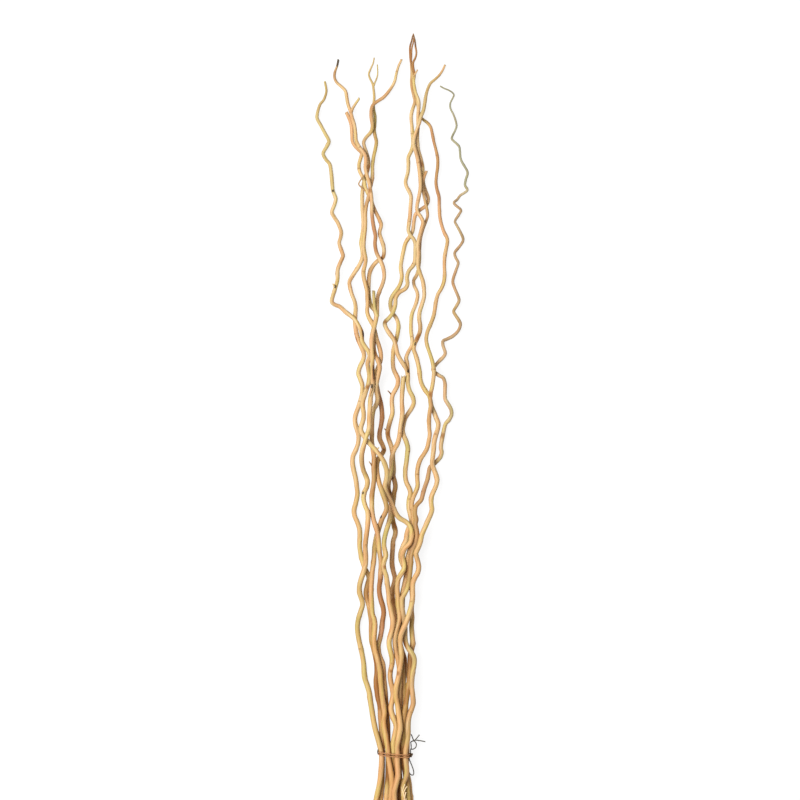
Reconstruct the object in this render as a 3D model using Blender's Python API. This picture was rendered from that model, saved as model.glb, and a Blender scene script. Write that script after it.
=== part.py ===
# Peeled curly willow stems, tied in a bunch with twine and laid down on a flat surface.
# +Y runs along the bunch from the cut ends to the tips, +X across it and +Z up.
# The origin is on that surface, under the middle of the bunch's box.
# A place on the bunch is (across, along): millimetres from its middle line, and from its cut ends.

import math

import bpy
import bmesh
import numpy as np

MM = 0.001

# The stems' tubes
STEM_SIDES = 6
CURVE_STEPS = 8
RING_STEP = 16.0
FINE_RING_STEP = 12.0
GAP = 1.1
CURL_DEPTH = 15.0
CURL_REACH = 95.0
WORN_FLAT = 0.35

# Where each stem runs, from its tip to its cut end
ROUTES = {
    "stem_01": [
        (-129, 1387), (-126.5, 1375), (-126.5, 1366), (-131, 1353), (-138, 1344), (-143, 1327),
        (-143, 1319), (-137, 1308), (-129, 1293), (-121.5, 1278), (-125, 1268), (-132, 1255),
        (-127, 1244), (-120, 1235), (-117, 1217), (-115.5, 1200), (-114, 1186), (-109, 1172),
        (-111, 1161), (-116, 1147), (-112, 1138), (-105, 1127), (-99, 1111), (-100, 1100),
        (-102.5, 1089), (-97, 1072), (-95.5, 1065), (-100, 1054), (-105, 1040), (-105.5, 1022),
        (-109, 1008), (-113, 995), (-116, 982), (-111, 976), (-101, 972), (-90, 962), (-75, 950),
        (-67, 938), (-61, 924), (-60, 909), (-54, 898), (-48, 889), (-46, 880), (-50, 869),
        (-49, 858), (-47, 845), (-48, 832), (-53, 816), (-59, 795), (-57, 775), (-58, 763),
        (-62, 750), (-61, 742), (-56, 734), (-49, 724), (-40, 714), (-32, 705), (-24, 695),
        (-18, 683), (-14.5, 669), (-15, 656), (-18, 643), (-15, 630), (-9, 617), (-3, 604),
        (2, 592), (9, 583), (22, 575), (30, 564), (31, 552), (28, 538), (18, 527), (14, 514),
        (17, 500), (17, 490), (12, 481), (7, 472), (5, 462), (4.5, 450), (5.5, 438), (6, 425),
        (8, 411), (9, 400), (6, 386), (3, 374), (0.5, 360), (0.5, 350), (3, 336), (6, 322),
        (9, 305), (9, 285), (8, 265), (8, 250), (7, 225), (4, 200), (0, 175), (-2, 147),
        (-2.5, 120), (-2.5, 95), (-3, 70), (-4, 45), (-3, 20), (-2, 3),
    ],
    "stem_02": [
        (12, 1427), (7, 1416), (3, 1402), (0, 1388), (-7, 1375), (-19, 1360), (-30, 1352),
        (-39, 1345), (-43, 1335), (-43, 1320), (-41, 1305), (-44, 1294), (-52, 1285), (-57, 1276),
        (-56, 1267), (-52, 1256), (-49, 1245), (-48, 1233), (-51, 1220), (-55, 1209), (-58, 1196),
        (-60, 1180), (-60, 1160), (-59, 1140), (-58, 1122), (-60, 1105), (-62, 1090), (-60, 1075),
        (-60, 1062), (-66, 1048), (-75, 1034), (-83, 1020), (-83, 1010), (-79, 995), (-74, 982),
        (-72, 970), (-73, 955), (-73, 940), (-71, 925), (-67, 910), (-61, 897), (-57, 886),
        (-58, 875), (-64, 862), (-67, 850), (-64, 840), (-60, 828), (-60, 815), (-63, 800),
        (-68, 785), (-73, 770), (-73, 757), (-69, 743), (-67, 733), (-68, 720), (-72, 708),
        (-77, 697), (-78, 685), (-76, 672), (-72, 655), (-70, 640), (-69, 626), (-72, 610),
        (-75, 598), (-74, 587), (-69, 575), (-65, 562), (-64.5, 548), (-65, 535), (-64, 523),
        (-61, 508), (-56, 492), (-50, 480), (-47.5, 471), (-50, 460), (-53, 446), (-52, 435),
        (-48, 422), (-45.5, 408), (-43.5, 392), (-43.5, 375), (-43, 358), (-40, 345), (-34, 320),
        (-33, 300), (-34.5, 283), (-33.5, 268), (-31.5, 252), (-28, 238), (-26.5, 222),
        (-25, 200), (-23.5, 175), (-23, 147), (-23, 120), (-24, 95), (-26, 70), (-29, 45),
        (-31, 18), (-33, 2),
    ],
    "stem_03": [
        (-104, 1426), (-106, 1416), (-110, 1405), (-111, 1395), (-107, 1386), (-98, 1378),
        (-91, 1370), (-88.5, 1358), (-86, 1345), (-81, 1330), (-78, 1318), (-74, 1305),
        (-72, 1290), (-71, 1278), (-66, 1267), (-59, 1258), (-54, 1249), (-53, 1238), (-54, 1227),
        (-51, 1213), (-47, 1200), (-45, 1188), (-43, 1175), (-42, 1160), (-42, 1147),
        (-41, 1133), (-38.5, 1117), (-35.5, 1102), (-36.5, 1088), (-34, 1073), (-29, 1062),
        (-24, 1052), (-20.5, 1040), (-19.5, 1026), (-23, 1012), (-28, 1000), (-31.5, 988),
        (-32, 972), (-33, 955), (-36, 940), (-40, 925), (-42.5, 908), (-42, 893), (-41, 878),
        (-41, 862), (-40, 846), (-40, 832), (-41, 820), (-44, 806), (-45, 793), (-46, 778),
        (-46.5, 762), (-47, 748), (-51, 736), (-55, 722), (-58.5, 710), (-60.5, 698), (-60, 683),
        (-57, 670), (-52.5, 659), (-50, 650), (-51.5, 640), (-56, 630), (-57, 618), (-54, 606),
        (-50, 596), (-49, 582), (-50, 567), (-52, 552), (-54, 536), (-54, 524), (-53, 510),
        (-54, 497), (-58, 482), (-62, 470), (-65, 457), (-64.5, 444), (-60.5, 431), (-59.5, 422),
        (-63, 410), (-67, 397), (-69, 383), (-68, 368), (-65, 352), (-61, 335), (-57.5, 315),
        (-56.5, 298), (-55, 286), (-51, 274), (-47, 260), (-45, 245), (-42.5, 230), (-39.5, 212),
        (-36, 195), (-32, 180), (-28, 165), (-24.5, 150), (-24, 138), (-25, 120), (-27, 100),
        (-30, 84), (-33, 70), (-37, 45), (-40, 20), (-43, -4),
    ],
    "stem_04": [
        (-88, 1328), (-84, 1319), (-80, 1306), (-79, 1290), (-78, 1277), (-73, 1268), (-66, 1261),
        (-61, 1255), (-63, 1246), (-66, 1235), (-65, 1223), (-60, 1212), (-56, 1203), (-54, 1192),
        (-49, 1180), (-44, 1170), (-40, 1158), (-35, 1146), (-28, 1132), (-25, 1122), (-28, 1108),
        (-24, 1094), (-20.5, 1082), (-20, 1070), (-23, 1062), (-32, 1057), (-42, 1045),
        (-47, 1031), (-48, 1015), (-48, 1000), (-46.5, 986), (-44, 974), (-37, 965), (-34, 955),
        (-36, 943), (-38, 928), (-38.5, 912), (-38.5, 897), (-36, 884), (-30, 870), (-27.5, 860),
        (-30, 847), (-33, 833), (-34, 818), (-31.5, 803), (-34, 792), (-39, 782), (-41.5, 768),
        (-42, 752), (-42, 738), (-42, 724), (-40, 710), (-38, 695), (-38.5, 678), (-38, 660),
        (-39, 645), (-41.5, 628), (-42, 612), (-41.5, 597), (-39, 581), (-34.5, 567), (-31, 553),
        (-29.5, 538), (-28, 522), (-25.5, 507), (-25, 495), (-26, 482), (-26.5, 470),
        (-28.5, 456), (-28, 443), (-25, 430), (-21.5, 418), (-20.5, 406), (-22.5, 393),
        (-24, 378), (-27, 362), (-30.5, 348), (-30, 336), (-26.5, 325), (-22, 314), (-20.5, 300),
        (-20, 285), (-18, 265), (-16, 235), (-13.5, 205), (-12.5, 175), (-12.5, 147), (-12.5, 120),
        (-13.5, 95), (-15, 70), (-17, 45), (-19, 15), (-20, -12),
    ],
    "stem_05": [
        (-38, 1431), (-40, 1421), (-45, 1410), (-48, 1402), (-46, 1394), (-41, 1384), (-39, 1372),
        (-38, 1358), (-39, 1346), (-38.5, 1335), (-36.5, 1323), (-37, 1308), (-38, 1297),
        (-36, 1286), (-34, 1276), (-36, 1262), (-39, 1248), (-41, 1232), (-41, 1216),
        (-42.5, 1202), (-45.5, 1188), (-48, 1174), (-52, 1160), (-54, 1145), (-54, 1128),
        (-55, 1112), (-56.5, 1096), (-57, 1082), (-55.5, 1070), (-53.5, 1060), (-54.5, 1050),
        (-57.5, 1038), (-57, 1026), (-54, 1013), (-51, 1000), (-50.5, 988), (-50, 975),
        (-50.5, 962), (-47, 951), (-41, 941), (-37, 928), (-33, 912), (-28.5, 898), (-25.5, 884),
        (-26, 873), (-30, 862), (-34.5, 850), (-35, 838), (-32.5, 823), (-29.5, 808), (-26, 795),
        (-24, 782), (-23.5, 768), (-25.5, 753), (-28, 740), (-27.5, 728), (-22.5, 717),
        (-20, 708), (-25, 699), (-31, 690), (-33, 678), (-31.5, 662), (-28.5, 648), (-25, 637),
        (-20.5, 624), (-16.5, 612), (-15, 602), (-17.5, 593), (-23, 583), (-27, 571), (-31, 558),
        (-35, 543), (-37, 527), (-38.5, 505), (-41, 487), (-42.5, 470), (-43.5, 450), (-43, 430),
        (-41.5, 408), (-38, 397), (-36.5, 385), (-37.5, 370), (-38, 355), (-36, 340),
        (-32.5, 328), (-29.5, 315), (-27, 300), (-25.8, 283), (-24, 262), (-21.5, 243),
        (-19, 225), (-20.5, 209), (-19.5, 197), (-17, 185), (-14.5, 171), (-12.5, 158),
        (-12, 148), (-10.5, 137), (-8, 124), (-6, 111), (-5, 98), (-5.5, 84), (-7, 70), (-9, 45),
        (-12, 20), (-14, -2),
    ],
    "stem_06": [
        (16, 841), (15, 830), (14, 818), (13, 800), (13.5, 788), (14, 778), (13, 766), (11, 755),
        (10, 745), (8.5, 733), (5, 720), (0, 711), (-4, 700), (-6, 688), (-6, 675), (-8, 662),
        (-11, 650), (-11.5, 638), (-9, 626), (-7, 612), (-7.5, 598), (-8.5, 585), (-12, 571),
        (-16, 558), (-19, 545), (-19.5, 532), (-17.5, 522), (-16.5, 514), (-19.5, 504),
        (-20.5, 496), (-18.5, 486), (-15.5, 477), (-14, 466), (-12.5, 455), (-11, 441),
        (-10.5, 430), (-8, 418), (-5.5, 406), (-3.5, 395), (-4.5, 382), (-7.5, 370), (-10, 359),
        (-10, 349), (-7.5, 338), (-5, 326), (-5, 315), (-7.5, 303), (-8.5, 292), (-7, 280),
        (-4.5, 270), (-3, 258), (-5, 246), (-7, 235), (-5.5, 225), (-2, 215), (1.5, 206),
        (2.5, 198), (0.5, 187), (-1.5, 176), (-3, 165), (-2.5, 150), (-2, 125), (-1, 100),
        (0, 75), (0, 50), (-2, 25), (-4, 8),
    ],
    "stem_07": [
        (34, 1475), (37, 1463), (38.5, 1450), (40, 1440), (38, 1430), (34, 1422), (34, 1412),
        (36, 1400), (35, 1385), (38, 1367), (43.5, 1352), (44, 1340), (42.5, 1322), (43, 1305),
        (42, 1290), (42, 1275), (44, 1260), (48, 1246), (51, 1232), (52, 1216), (53, 1200),
        (56, 1188), (61, 1175), (61, 1165), (56, 1157), (46, 1150), (38, 1141), (35, 1127),
        (33, 1112), (27, 1101), (20, 1090), (16, 1075), (13, 1060), (11, 1045), (13, 1029),
        (11, 1017), (6, 1006), (-1, 997), (-7, 986), (-8, 973), (-4, 961), (3, 951), (6.5, 940),
        (6, 927), (3, 913), (-1, 899), (-3, 885), (-3.5, 870), (-2, 857), (3, 846), (6, 838),
        (5, 827), (0, 817), (-4, 809), (-5.5, 798), (-4.5, 785), (-4.5, 775), (-8, 763),
        (-11, 752), (-13, 741), (-12, 731), (-9, 722), (-6, 713), (-4, 702), (-3, 688),
        (-2, 672), (-3, 660), (0, 649), (1, 639), (-1.5, 627), (-3, 612), (-4, 598), (-4.5, 584),
        (-2, 571), (1, 560), (0.5, 551), (-3, 540), (-4, 525), (-5, 510), (-5, 497), (-3, 485),
        (0, 473), (-1, 463), (-4, 452), (-4.5, 440), (-3, 428), (0, 416), (2.5, 404), (4, 390),
        (6, 375), (9, 355), (13, 338), (17, 325), (18.5, 312), (18, 297), (16.5, 284),
        (13.5, 270), (13, 258), (16, 246), (17, 235), (14.5, 210), (11.5, 185), (9.5, 165),
        (8.5, 147), (8.5, 120), (9, 95), (9.5, 70), (11, 45), (14, 20), (16, 10),
    ],
    "stem_08": [
        (33, 1473), (31, 1463), (28, 1452), (28, 1438), (29, 1427), (31, 1414), (31, 1400),
        (30.5, 1388), (32, 1374), (35, 1361), (37, 1350), (32.5, 1336), (30, 1323), (31.5, 1305),
        (33, 1288), (33.5, 1272), (31, 1261), (25, 1248), (25, 1235), (24, 1220), (20, 1204),
        (21.5, 1194), (27, 1184), (30, 1174), (29, 1158), (28, 1140), (26, 1125), (25, 1113),
        (28.5, 1104), (35, 1096), (38, 1086), (38, 1070), (37, 1055), (33, 1047), (26, 1038),
        (22.5, 1026), (23.5, 1014), (19, 1005), (8, 998), (2, 988), (1, 976), (-3, 962),
        (-10, 952), (-18, 943), (-16.5, 934), (-10, 923), (-2, 912), (2, 900), (4.5, 887),
        (9.5, 876), (16.5, 865), (22, 856), (24, 845), (24, 832), (27, 818), (33, 806),
        (35, 795), (31, 785), (25, 776), (19, 766), (16, 755), (14.5, 745), (16.5, 735),
        (21, 724), (24, 712), (23, 700), (21.5, 686), (19.5, 672), (19.5, 658), (22, 647),
        (27, 637), (29, 628), (26.5, 615), (26, 602), (29, 588), (31, 575), (26, 564), (22, 552),
        (20.5, 541), (15, 529), (11, 517), (12, 505), (16, 494), (20.5, 484), (20.5, 472),
        (18, 460), (15, 447), (14, 433), (14, 418), (13, 404), (12, 390), (9, 376), (10, 350),
        (12, 320), (15, 290), (18, 260), (20.5, 230), (22, 200), (23, 175), (22.6, 147),
        (21.3, 130), (21.6, 118), (24.3, 104), (26.6, 90), (28.5, 70), (32, 45), (37, 20), (40, 0),
    ],
    "stem_09": [
        (35, 1468), (34, 1459), (31.5, 1449), (30.5, 1436), (30, 1415), (33, 1395), (38, 1370),
        (42, 1345), (46, 1326), (52, 1318), (60, 1312), (66, 1304), (69, 1292), (72, 1277),
        (76, 1261), (79, 1246), (79, 1230), (77, 1215), (76, 1201), (78, 1188), (81.5, 1175),
        (82, 1158), (83, 1140), (86, 1125), (91, 1110), (96, 1100), (97, 1091), (94.5, 1078),
        (92, 1064), (91.5, 1048), (92, 1032), (90.5, 1018), (86, 1006), (79.5, 995), (76, 982),
        (74, 969), (72, 957), (68, 945), (62.5, 932), (59, 921), (58, 910), (60.5, 898),
        (64.5, 886), (68.5, 873), (71, 862), (72, 852), (71, 840), (69, 826), (66, 812),
        (65, 800), (66, 789), (64, 776), (63, 762), (63.5, 748), (64.5, 737), (62.5, 724),
        (59.5, 711), (54, 701), (47.5, 691), (43.5, 680), (41.5, 668), (41.5, 655), (42, 642),
        (38.5, 631), (34, 621), (31, 608), (33, 595), (35, 582), (35, 569), (36, 555), (34, 541),
        (29, 529), (25.5, 517), (24, 503), (25, 490), (27, 476), (30, 460), (32, 445), (32, 428),
        (31, 414), (32, 398), (31, 382), (32, 367), (33, 352), (31, 340), (28.5, 329), (28, 315),
        (27.5, 298), (26, 280), (24, 265), (22, 250), (19.5, 235), (17, 220), (15.5, 205),
        (15.5, 190), (16, 176), (14.5, 160), (14, 147), (17, 128), (20, 110), (22.5, 90),
        (24, 70), (27, 45), (31, 20), (33, 5),
    ],
    "stem_10": [
        (84, 1378), (91, 1374), (99, 1371), (106, 1367), (109, 1362), (105, 1354), (102, 1346),
        (103, 1337), (108, 1327), (112, 1316), (114, 1306), (111, 1297), (105, 1284), (108, 1278),
        (118, 1268), (120, 1258), (121, 1246), (125, 1236), (134, 1220), (131, 1207),
        (129.5, 1196), (134, 1188), (129, 1183), (121, 1178), (115, 1170), (109, 1164),
        (113, 1158), (122, 1150), (118, 1142), (111, 1130), (114, 1122), (120, 1111), (126, 1097),
        (122, 1087), (111, 1073), (112, 1063), (117, 1053), (113, 1040), (107, 1020), (110, 1007),
        (115, 995), (118.5, 984), (114, 974), (108.5, 964), (112, 956), (118, 947), (121, 939),
        (117, 928), (108, 919), (97, 913), (89, 909), (89, 900), (93, 887), (89, 879), (80, 870),
        (74, 863), (70, 857), (75, 850), (82, 845), (89, 841), (92.5, 831), (92.5, 815),
        (93, 802), (98, 793), (103.5, 783), (104.5, 773), (100, 764), (94, 757), (91, 747),
        (88.5, 735), (86, 722), (85, 712), (86.5, 704), (84, 695), (78, 688), (72, 682),
        (65, 676), (62.5, 666), (60, 653), (55.5, 640), (52, 628), (49, 617), (43, 610),
        (38.5, 604), (37, 592), (39, 581), (38, 571), (40.5, 560), (41, 548), (38, 536),
        (33, 526), (30.5, 515), (29.5, 500), (28.5, 485), (26.5, 470), (23, 454), (17, 442),
        (13, 434), (13.5, 421), (15.5, 408), (17.5, 396), (19, 382), (19, 368), (20, 355),
        (25, 344), (31, 336), (35.5, 326), (35.5, 313), (33, 300), (31.5, 285), (31.5, 272),
        (33, 258), (34, 244), (31.5, 234), (27.5, 223), (25, 211), (24.5, 198), (24.5, 186),
        (23, 173), (20.5, 160), (19.5, 148), (20.5, 137), (22, 125), (22, 115), (19.5, 105),
        (16, 97), (15, 85), (16, 70), (18, 50), (22, 28), (24, 10), (25, -8),
    ],
    "stem_11": [
        (92, 1417), (88, 1408), (82, 1399), (74, 1391), (66, 1384), (61, 1374), (57.5, 1361),
        (55.5, 1348), (53, 1334), (48, 1321), (45, 1310), (41, 1298), (36.5, 1285), (35, 1272),
        (38, 1260), (41.5, 1247), (43.5, 1235), (45.5, 1220), (47, 1204), (47, 1189), (44, 1172),
        (41, 1157), (42, 1146), (48, 1137), (52, 1127), (49, 1113), (45, 1099), (42.5, 1085),
        (43.5, 1070), (42.5, 1055), (44, 1041), (48, 1030), (52, 1018), (54, 1003), (54, 990),
        (50, 976), (46, 963), (45, 950), (47, 937), (46, 925), (41, 913), (37, 904), (35, 894),
        (38.5, 883), (42.5, 869), (45.5, 854), (47, 840), (50, 829), (56, 818), (63, 809),
        (66, 799), (68, 789), (72, 779), (76, 768), (80, 757), (79, 747), (75.5, 736),
        (72.5, 723), (71.5, 709), (70, 695), (69, 684), (72, 673), (76, 662), (78, 652),
        (75.5, 641), (70.5, 630), (67, 619), (67.5, 607), (68.5, 599), (66, 590), (60.5, 578),
        (55, 565), (50, 553), (47, 540), (43, 529), (39, 520), (39.5, 514), (42.5, 503),
        (44, 493), (42, 483), (37, 474), (33.5, 464), (33, 452), (33, 440), (31.5, 428),
        (28.5, 416), (25, 404), (20.5, 391), (15, 379), (11, 367), (10, 355), (11.5, 342),
        (12.5, 330), (11, 318), (9, 307), (7.5, 296), (5, 284), (2.5, 272), (1.8, 260),
        (3.5, 249), (5.5, 238), (7, 226), (9, 213), (10, 201), (8.5, 189), (6, 176), (4, 163),
        (5, 150), (4.5, 138), (5.5, 125), (6, 112), (3.5, 100), (1, 90), (-1, 80), (0, 60),
        (3, 40), (5, 15), (6, -10),
    ],
}

# The long side branch of one stem, from its broken top to its root
FORK_STEM = "stem_08"
FORK_ROUTE = [
    (58, 1221), (54, 1210), (51, 1195), (53, 1180), (56, 1165), (59, 1152), (60.5, 1140),
    (57, 1128), (52, 1115), (48, 1100), (46, 1082), (46, 1062), (44, 1044), (40, 1030),
    (35, 1021), (36, 1011), (41, 1000), (42, 990), (38, 975), (32, 960), (30, 945), (30, 927),
    (32, 912), (31, 900), (25, 889), (21, 877), (23, 867), (24, 848),
]

# Short side twigs and broken stubs: the stem, its diameter at the end and at the root, the points
TWIGS = [
    ("stem_03", 4.0, 5.2, [(-66, 1354), (-71, 1347), (-77, 1338), (-81, 1329)]),
    ("stem_03", 5.4, 6.2, [(-38.5, 998), (-38, 985), (-37, 970), (-33, 955)]),
    ("stem_03", 2.4, 4.2, [(-42, 829), (-42.5, 821), (-45, 811), (-45, 799)]),
    ("stem_05", 2.0, 3.0, [(-32, 1418), (-31.5, 1404), (-33, 1395), (-39, 1381)]),
    ("stem_07", 1.8, 3.0, [(-12.5, 817), (-8.5, 813), (-4.5, 806)]),
    ("stem_07", 1.8, 3.0, [(-18.5, 747), (-15, 743), (-12, 736)]),
    ("stem_04", 1.8, 3.0, [(-46.5, 687), (-43, 682), (-39, 673)]),
    ("stem_01", 2.6, 3.4, [(-113, 1013), (-110, 1005)]),
]
TWIG_STEP = 9.0
TWIG_LIFT = 0.25

# A stem's diameter at places along the bunch
STOUT = [
    (0, 10.2), (150, 9.6), (400, 9.0), (600, 8.6), (800, 8.1), (1000, 7.2), (1200, 6.6), (1350, 6.2), (1475, 5.0),
]
LEAN = [(0, 10.0), (400, 8.8), (600, 7.9), (800, 7.3), (1000, 6.8), (1200, 5.8), (1475, 4.4)]
SLIM = [
    (0, 9.6), (400, 8.6), (600, 8.0), (750, 7.3), (900, 6.1), (1050, 5.3), (1200, 4.5), (1300, 3.8), (1380, 2.8),
]
BRANCH = [(840, 7.0), (1000, 6.2), (1220, 4.8)]
LEAN_STEM = "stem_09"
SLIM_STEM = "stem_10"
BLUNT_STEMS = ("stem_04", "stem_06")
GIRTHS = {LEAN_STEM: LEAN, SLIM_STEM: SLIM}
FINE_TIP_STEMS = ("stem_05", "stem_07", "stem_08", LEAN_STEM)
TIP_DIAMETER = 3.8
FINE_TIP_DIAMETER = 2.4
TIP_TAPER = 0.03

# Which stem lies over which: the stems from the lowest up, then the stretches where two change places
LAYERS = [
    "stem_02", "stem_07", "stem_08", "stem_09", "stem_10", "stem_04",
    "stem_01", "stem_06", "stem_05", "stem_11", "stem_03",
]
CROSSINGS = [
    ("stem_01", "stem_06", 540, 700),
    ("stem_01", "stem_05", 660, 760),
    ("stem_04", "stem_05", 500, 886),
    ("stem_09", "stem_01", 0, 450),
    ("stem_10", "stem_01", 0, 450),
    ("stem_09", "stem_10", 780, 900),
    ("stem_09", "stem_11", 740, 900),
    ("stem_02", "stem_05", 1250, 1400),
    ("stem_07", "stem_08", 1320, 1500),
    ("stem_07", "stem_09", 1320, 1500),
]
LIFT_REACH = 6
SAMPLES_PER_STEP = 4
SETTLE_ROUNDS = 400

# The twine that ties them
TWINE = 2.4
TWINE_SIDES = 6
TIE_ALONG = 148.5
TIE_SLANT = 0.07
TIE_TURNS = (-2.2, 2.2)
TIE_CLEAR = 1.15
TIE_FLAT = 12
TIE_FADE = 60
TIE_POINTS = 40
RIM_POINTS = 24
KNOT = (29.8, 147.5)
KNOT_SIZE = (3.8, 4.4, 3.6)

BARK = {
    "peeled": (0.72, 0.47, 0.22),
    "brown": (0.50, 0.29, 0.13),
    "grey": (0.48, 0.42, 0.28),
}
BARK_OF = {"stem_05": "brown", LEAN_STEM: "brown", SLIM_STEM: "grey"}
WOOD_ROUGHNESS = 0.6
TWINE_COLOUR = (0.30, 0.24, 0.17)
TWINE_ROUGHNESS = 0.9
SHARP_ANGLE = math.radians(70)


# Smooth routes

def distances(points):
    """How far along a run of points each of them lies, from the first."""
    return np.concatenate([[0], np.cumsum(np.linalg.norm(np.diff(points, axis=0), axis=1))])


def smooth_curve(points, spacing):
    """Points at even steps along a smooth curve through the given points."""
    given = np.array(points, float)
    given = np.vstack([2 * given[0] - given[1], given, 2 * given[-1] - given[-2]])
    fine = []
    for a, b, c, d in zip(given, given[1:], given[2:], given[3:]):
        for t in np.arange(0, 1, 1 / CURVE_STEPS):
            bend = (2 * a - 5 * b + 4 * c - d) * t ** 2 + (3 * b - a - 3 * c + d) * t ** 3
            fine.append(0.5 * (2 * b + (c - a) * t + bend))
    fine.append(given[-2])
    fine = np.array(fine)
    run = distances(fine)
    count = max(3, round(run[-1] / spacing) + 1)
    places = np.linspace(0, run[-1], count)
    return np.column_stack([np.interp(places, run, fine[:, k]) for k in range(fine.shape[1])])


def radii_along(name, flat, girth):
    """A stem's radius at each point: its girth there, thinned towards a tip that isn't broken off."""
    along = flat[:, 1]
    diameter = np.interp(along, [place for place, _ in girth], [size for _, size in girth])
    if name not in BLUNT_STEMS:
        tip = FINE_TIP_DIAMETER if name in FINE_TIP_STEMS else TIP_DIAMETER
        diameter = np.minimum(diameter, tip + TIP_TAPER * distances(flat))
    return diameter / 2


def curl_heights(flat, radii, hand):
    """Heights of a stem that lies alone on the surface: it turns like a corkscrew, so it rises and
    dips a quarter turn out of step with its sideways curl, and its low points touch the surface."""
    curl = hand * CURL_DEPTH * np.gradient(flat[:, 0]) / np.hypot(*np.gradient(flat, axis=0).T)
    step = np.linalg.norm(flat[1] - flat[0])
    reach = round(CURL_REACH / step)
    count = len(curl)
    lowest = np.array([curl[max(0, i - reach):i + reach + 1].min() for i in range(count)])
    return radii * math.cos(math.pi / STEM_SIDES) + np.maximum(curl - lowest, 0) - WORN_FLAT


# Stacking the stems on each other

def lies_over(first, second, along):
    """True where the first stem passes over the second."""
    for upper, lower, start, end in CROSSINGS:
        if {upper, lower} == {first, second} and start <= along <= end:
            return first == upper
    return LAYERS.index(first) > LAYERS.index(second)


def tie_floor(along):
    """The room that the twine takes under the stems where it goes round them."""
    near = np.clip(1 - (np.abs(along - TIE_ALONG) - TIE_FLAT) / TIE_FADE, 0, 1)
    return (TWINE + 2 * TIE_CLEAR + WORN_FLAT) * near * near * (3 - 2 * near)


def samples_of(runs):
    """Sample places on all the runs: position, radius, run number, and the two points they lie between."""
    rows = []
    start = 0
    for number, run in enumerate(runs):
        count = len(run["flat"])
        for i in range(count - 1):
            for part in range(SAMPLES_PER_STEP):
                rows.append((number, start + i, part / SAMPLES_PER_STEP))
        start += count
    owner = np.array([row[0] for row in rows])
    index = np.array([row[1] for row in rows])
    share = np.array([row[2] for row in rows])
    flat = np.vstack([run["flat"] for run in runs])
    radii = np.concatenate([run["radii"] for run in runs])
    place = flat[index] * (1 - share)[:, None] + flat[index + 1] * share[:, None]
    radius = radii[index] * (1 - share) + radii[index + 1] * share
    return owner, index, share, place, radius


def contacts_of(runs, owner, place, radius):
    """Pairs of samples, upper and lower, that are close in plan, and the height they have to keep."""
    upper, lower, need = [], [], []
    for i, first in enumerate(runs):
        for j in range(i + 1, len(runs)):
            second = runs[j]
            if first["node"] == second["node"]:
                continue
            a = np.flatnonzero(owner == i)
            b = np.flatnonzero(owner == j)
            apart = np.linalg.norm(place[a][:, None] - place[b][None], axis=2)
            room = radius[a][:, None] + radius[b][None] + GAP
            for p, q in zip(*np.nonzero(apart < room)):
                along = (place[a[p], 1] + place[b[q], 1]) / 2
                over = lies_over(first["node"], second["node"], along)
                upper.append(a[p] if over else b[q])
                lower.append(b[q] if over else a[p])
                need.append(math.sqrt(room[p, q] ** 2 - apart[p, q] ** 2))
    return np.array(upper), np.array(lower), np.array(need)


def settle(runs):
    """Lifts the stems, from the heights they have alone, until each lies clear on the ones below it.
    A lifted point takes its neighbours along with it, because a stem is stiff."""
    owner, index, share, place, radius = samples_of(runs)
    upper, lower, need = contacts_of(runs, owner, place, radius)
    starts = np.concatenate([[0], np.cumsum([len(run["flat"]) for run in runs])])
    height = np.concatenate([run["height"] for run in runs])
    offsets = range(-LIFT_REACH, LIFT_REACH + 1)
    ease = {k: math.cos(0.5 * math.pi * k / (LIFT_REACH + 1)) ** 2 for k in offsets}
    for _ in range(SETTLE_ROUNDS):
        at = height[index] * (1 - share) + height[index + 1] * share
        lack = need - (at[upper] - at[lower])
        push = np.zeros(len(at))
        np.maximum.at(push, upper, lack)
        lift = np.zeros(len(height))
        np.maximum.at(lift, index, push)
        np.maximum.at(lift, index + 1, push)
        if lift.max() < 0.01:
            break
        for number, run in enumerate(runs):
            own = slice(starts[number], starts[number + 1])
            padded = np.pad(lift[own], LIFT_REACH)
            count = len(run["flat"])
            spread = [ease[k] * padded[LIFT_REACH + k:LIFT_REACH + k + count] for k in offsets]
            height[own] += np.max(spread, axis=0)
        for number, run in enumerate(runs):
            if run["root"] is None:
                continue
            end = starts[number + 1] - 1
            stem, point = run["root"]
            joint = starts[stem] + point
            rise = height[joint] - height[end]
            tail = np.arange(LIFT_REACH + 1)
            if rise > 0:
                height[end - tail] += rise * np.array([ease[k] for k in tail])
            else:
                height[joint + np.array(offsets)] -= rise * np.array([ease[k] for k in offsets])
    for number, run in enumerate(runs):
        run["height"] = height[starts[number]:starts[number + 1]]


def stem_runs():
    """Every stem, and the fork, as a run of points with a radius and a height at each."""
    runs = []
    for turn, (name, route) in enumerate(ROUTES.items()):
        flat = smooth_curve(route, FINE_RING_STEP if name == SLIM_STEM else RING_STEP)
        radii = radii_along(name, flat, GIRTHS.get(name, STOUT))
        hand = 1 if turn % 2 else -1
        height = curl_heights(flat, radii, hand) + tie_floor(flat[:, 1])
        runs.append(dict(node=name, flat=flat, radii=radii, height=height, root=None))
    parent = list(ROUTES).index(FORK_STEM)
    flat = smooth_curve(FORK_ROUTE, RING_STEP)
    nearest = np.linalg.norm(runs[parent]["flat"] - flat[-1], axis=1).argmin()
    flat[-1] = runs[parent]["flat"][nearest]
    radii = np.interp(flat[:, 1], [place for place, _ in BRANCH], [size / 2 for _, size in BRANCH])
    height = curl_heights(flat, radii, 1)
    runs.append(dict(node=FORK_STEM, flat=flat, radii=radii, height=height, root=(parent, nearest)))
    settle(runs)
    return runs


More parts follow.
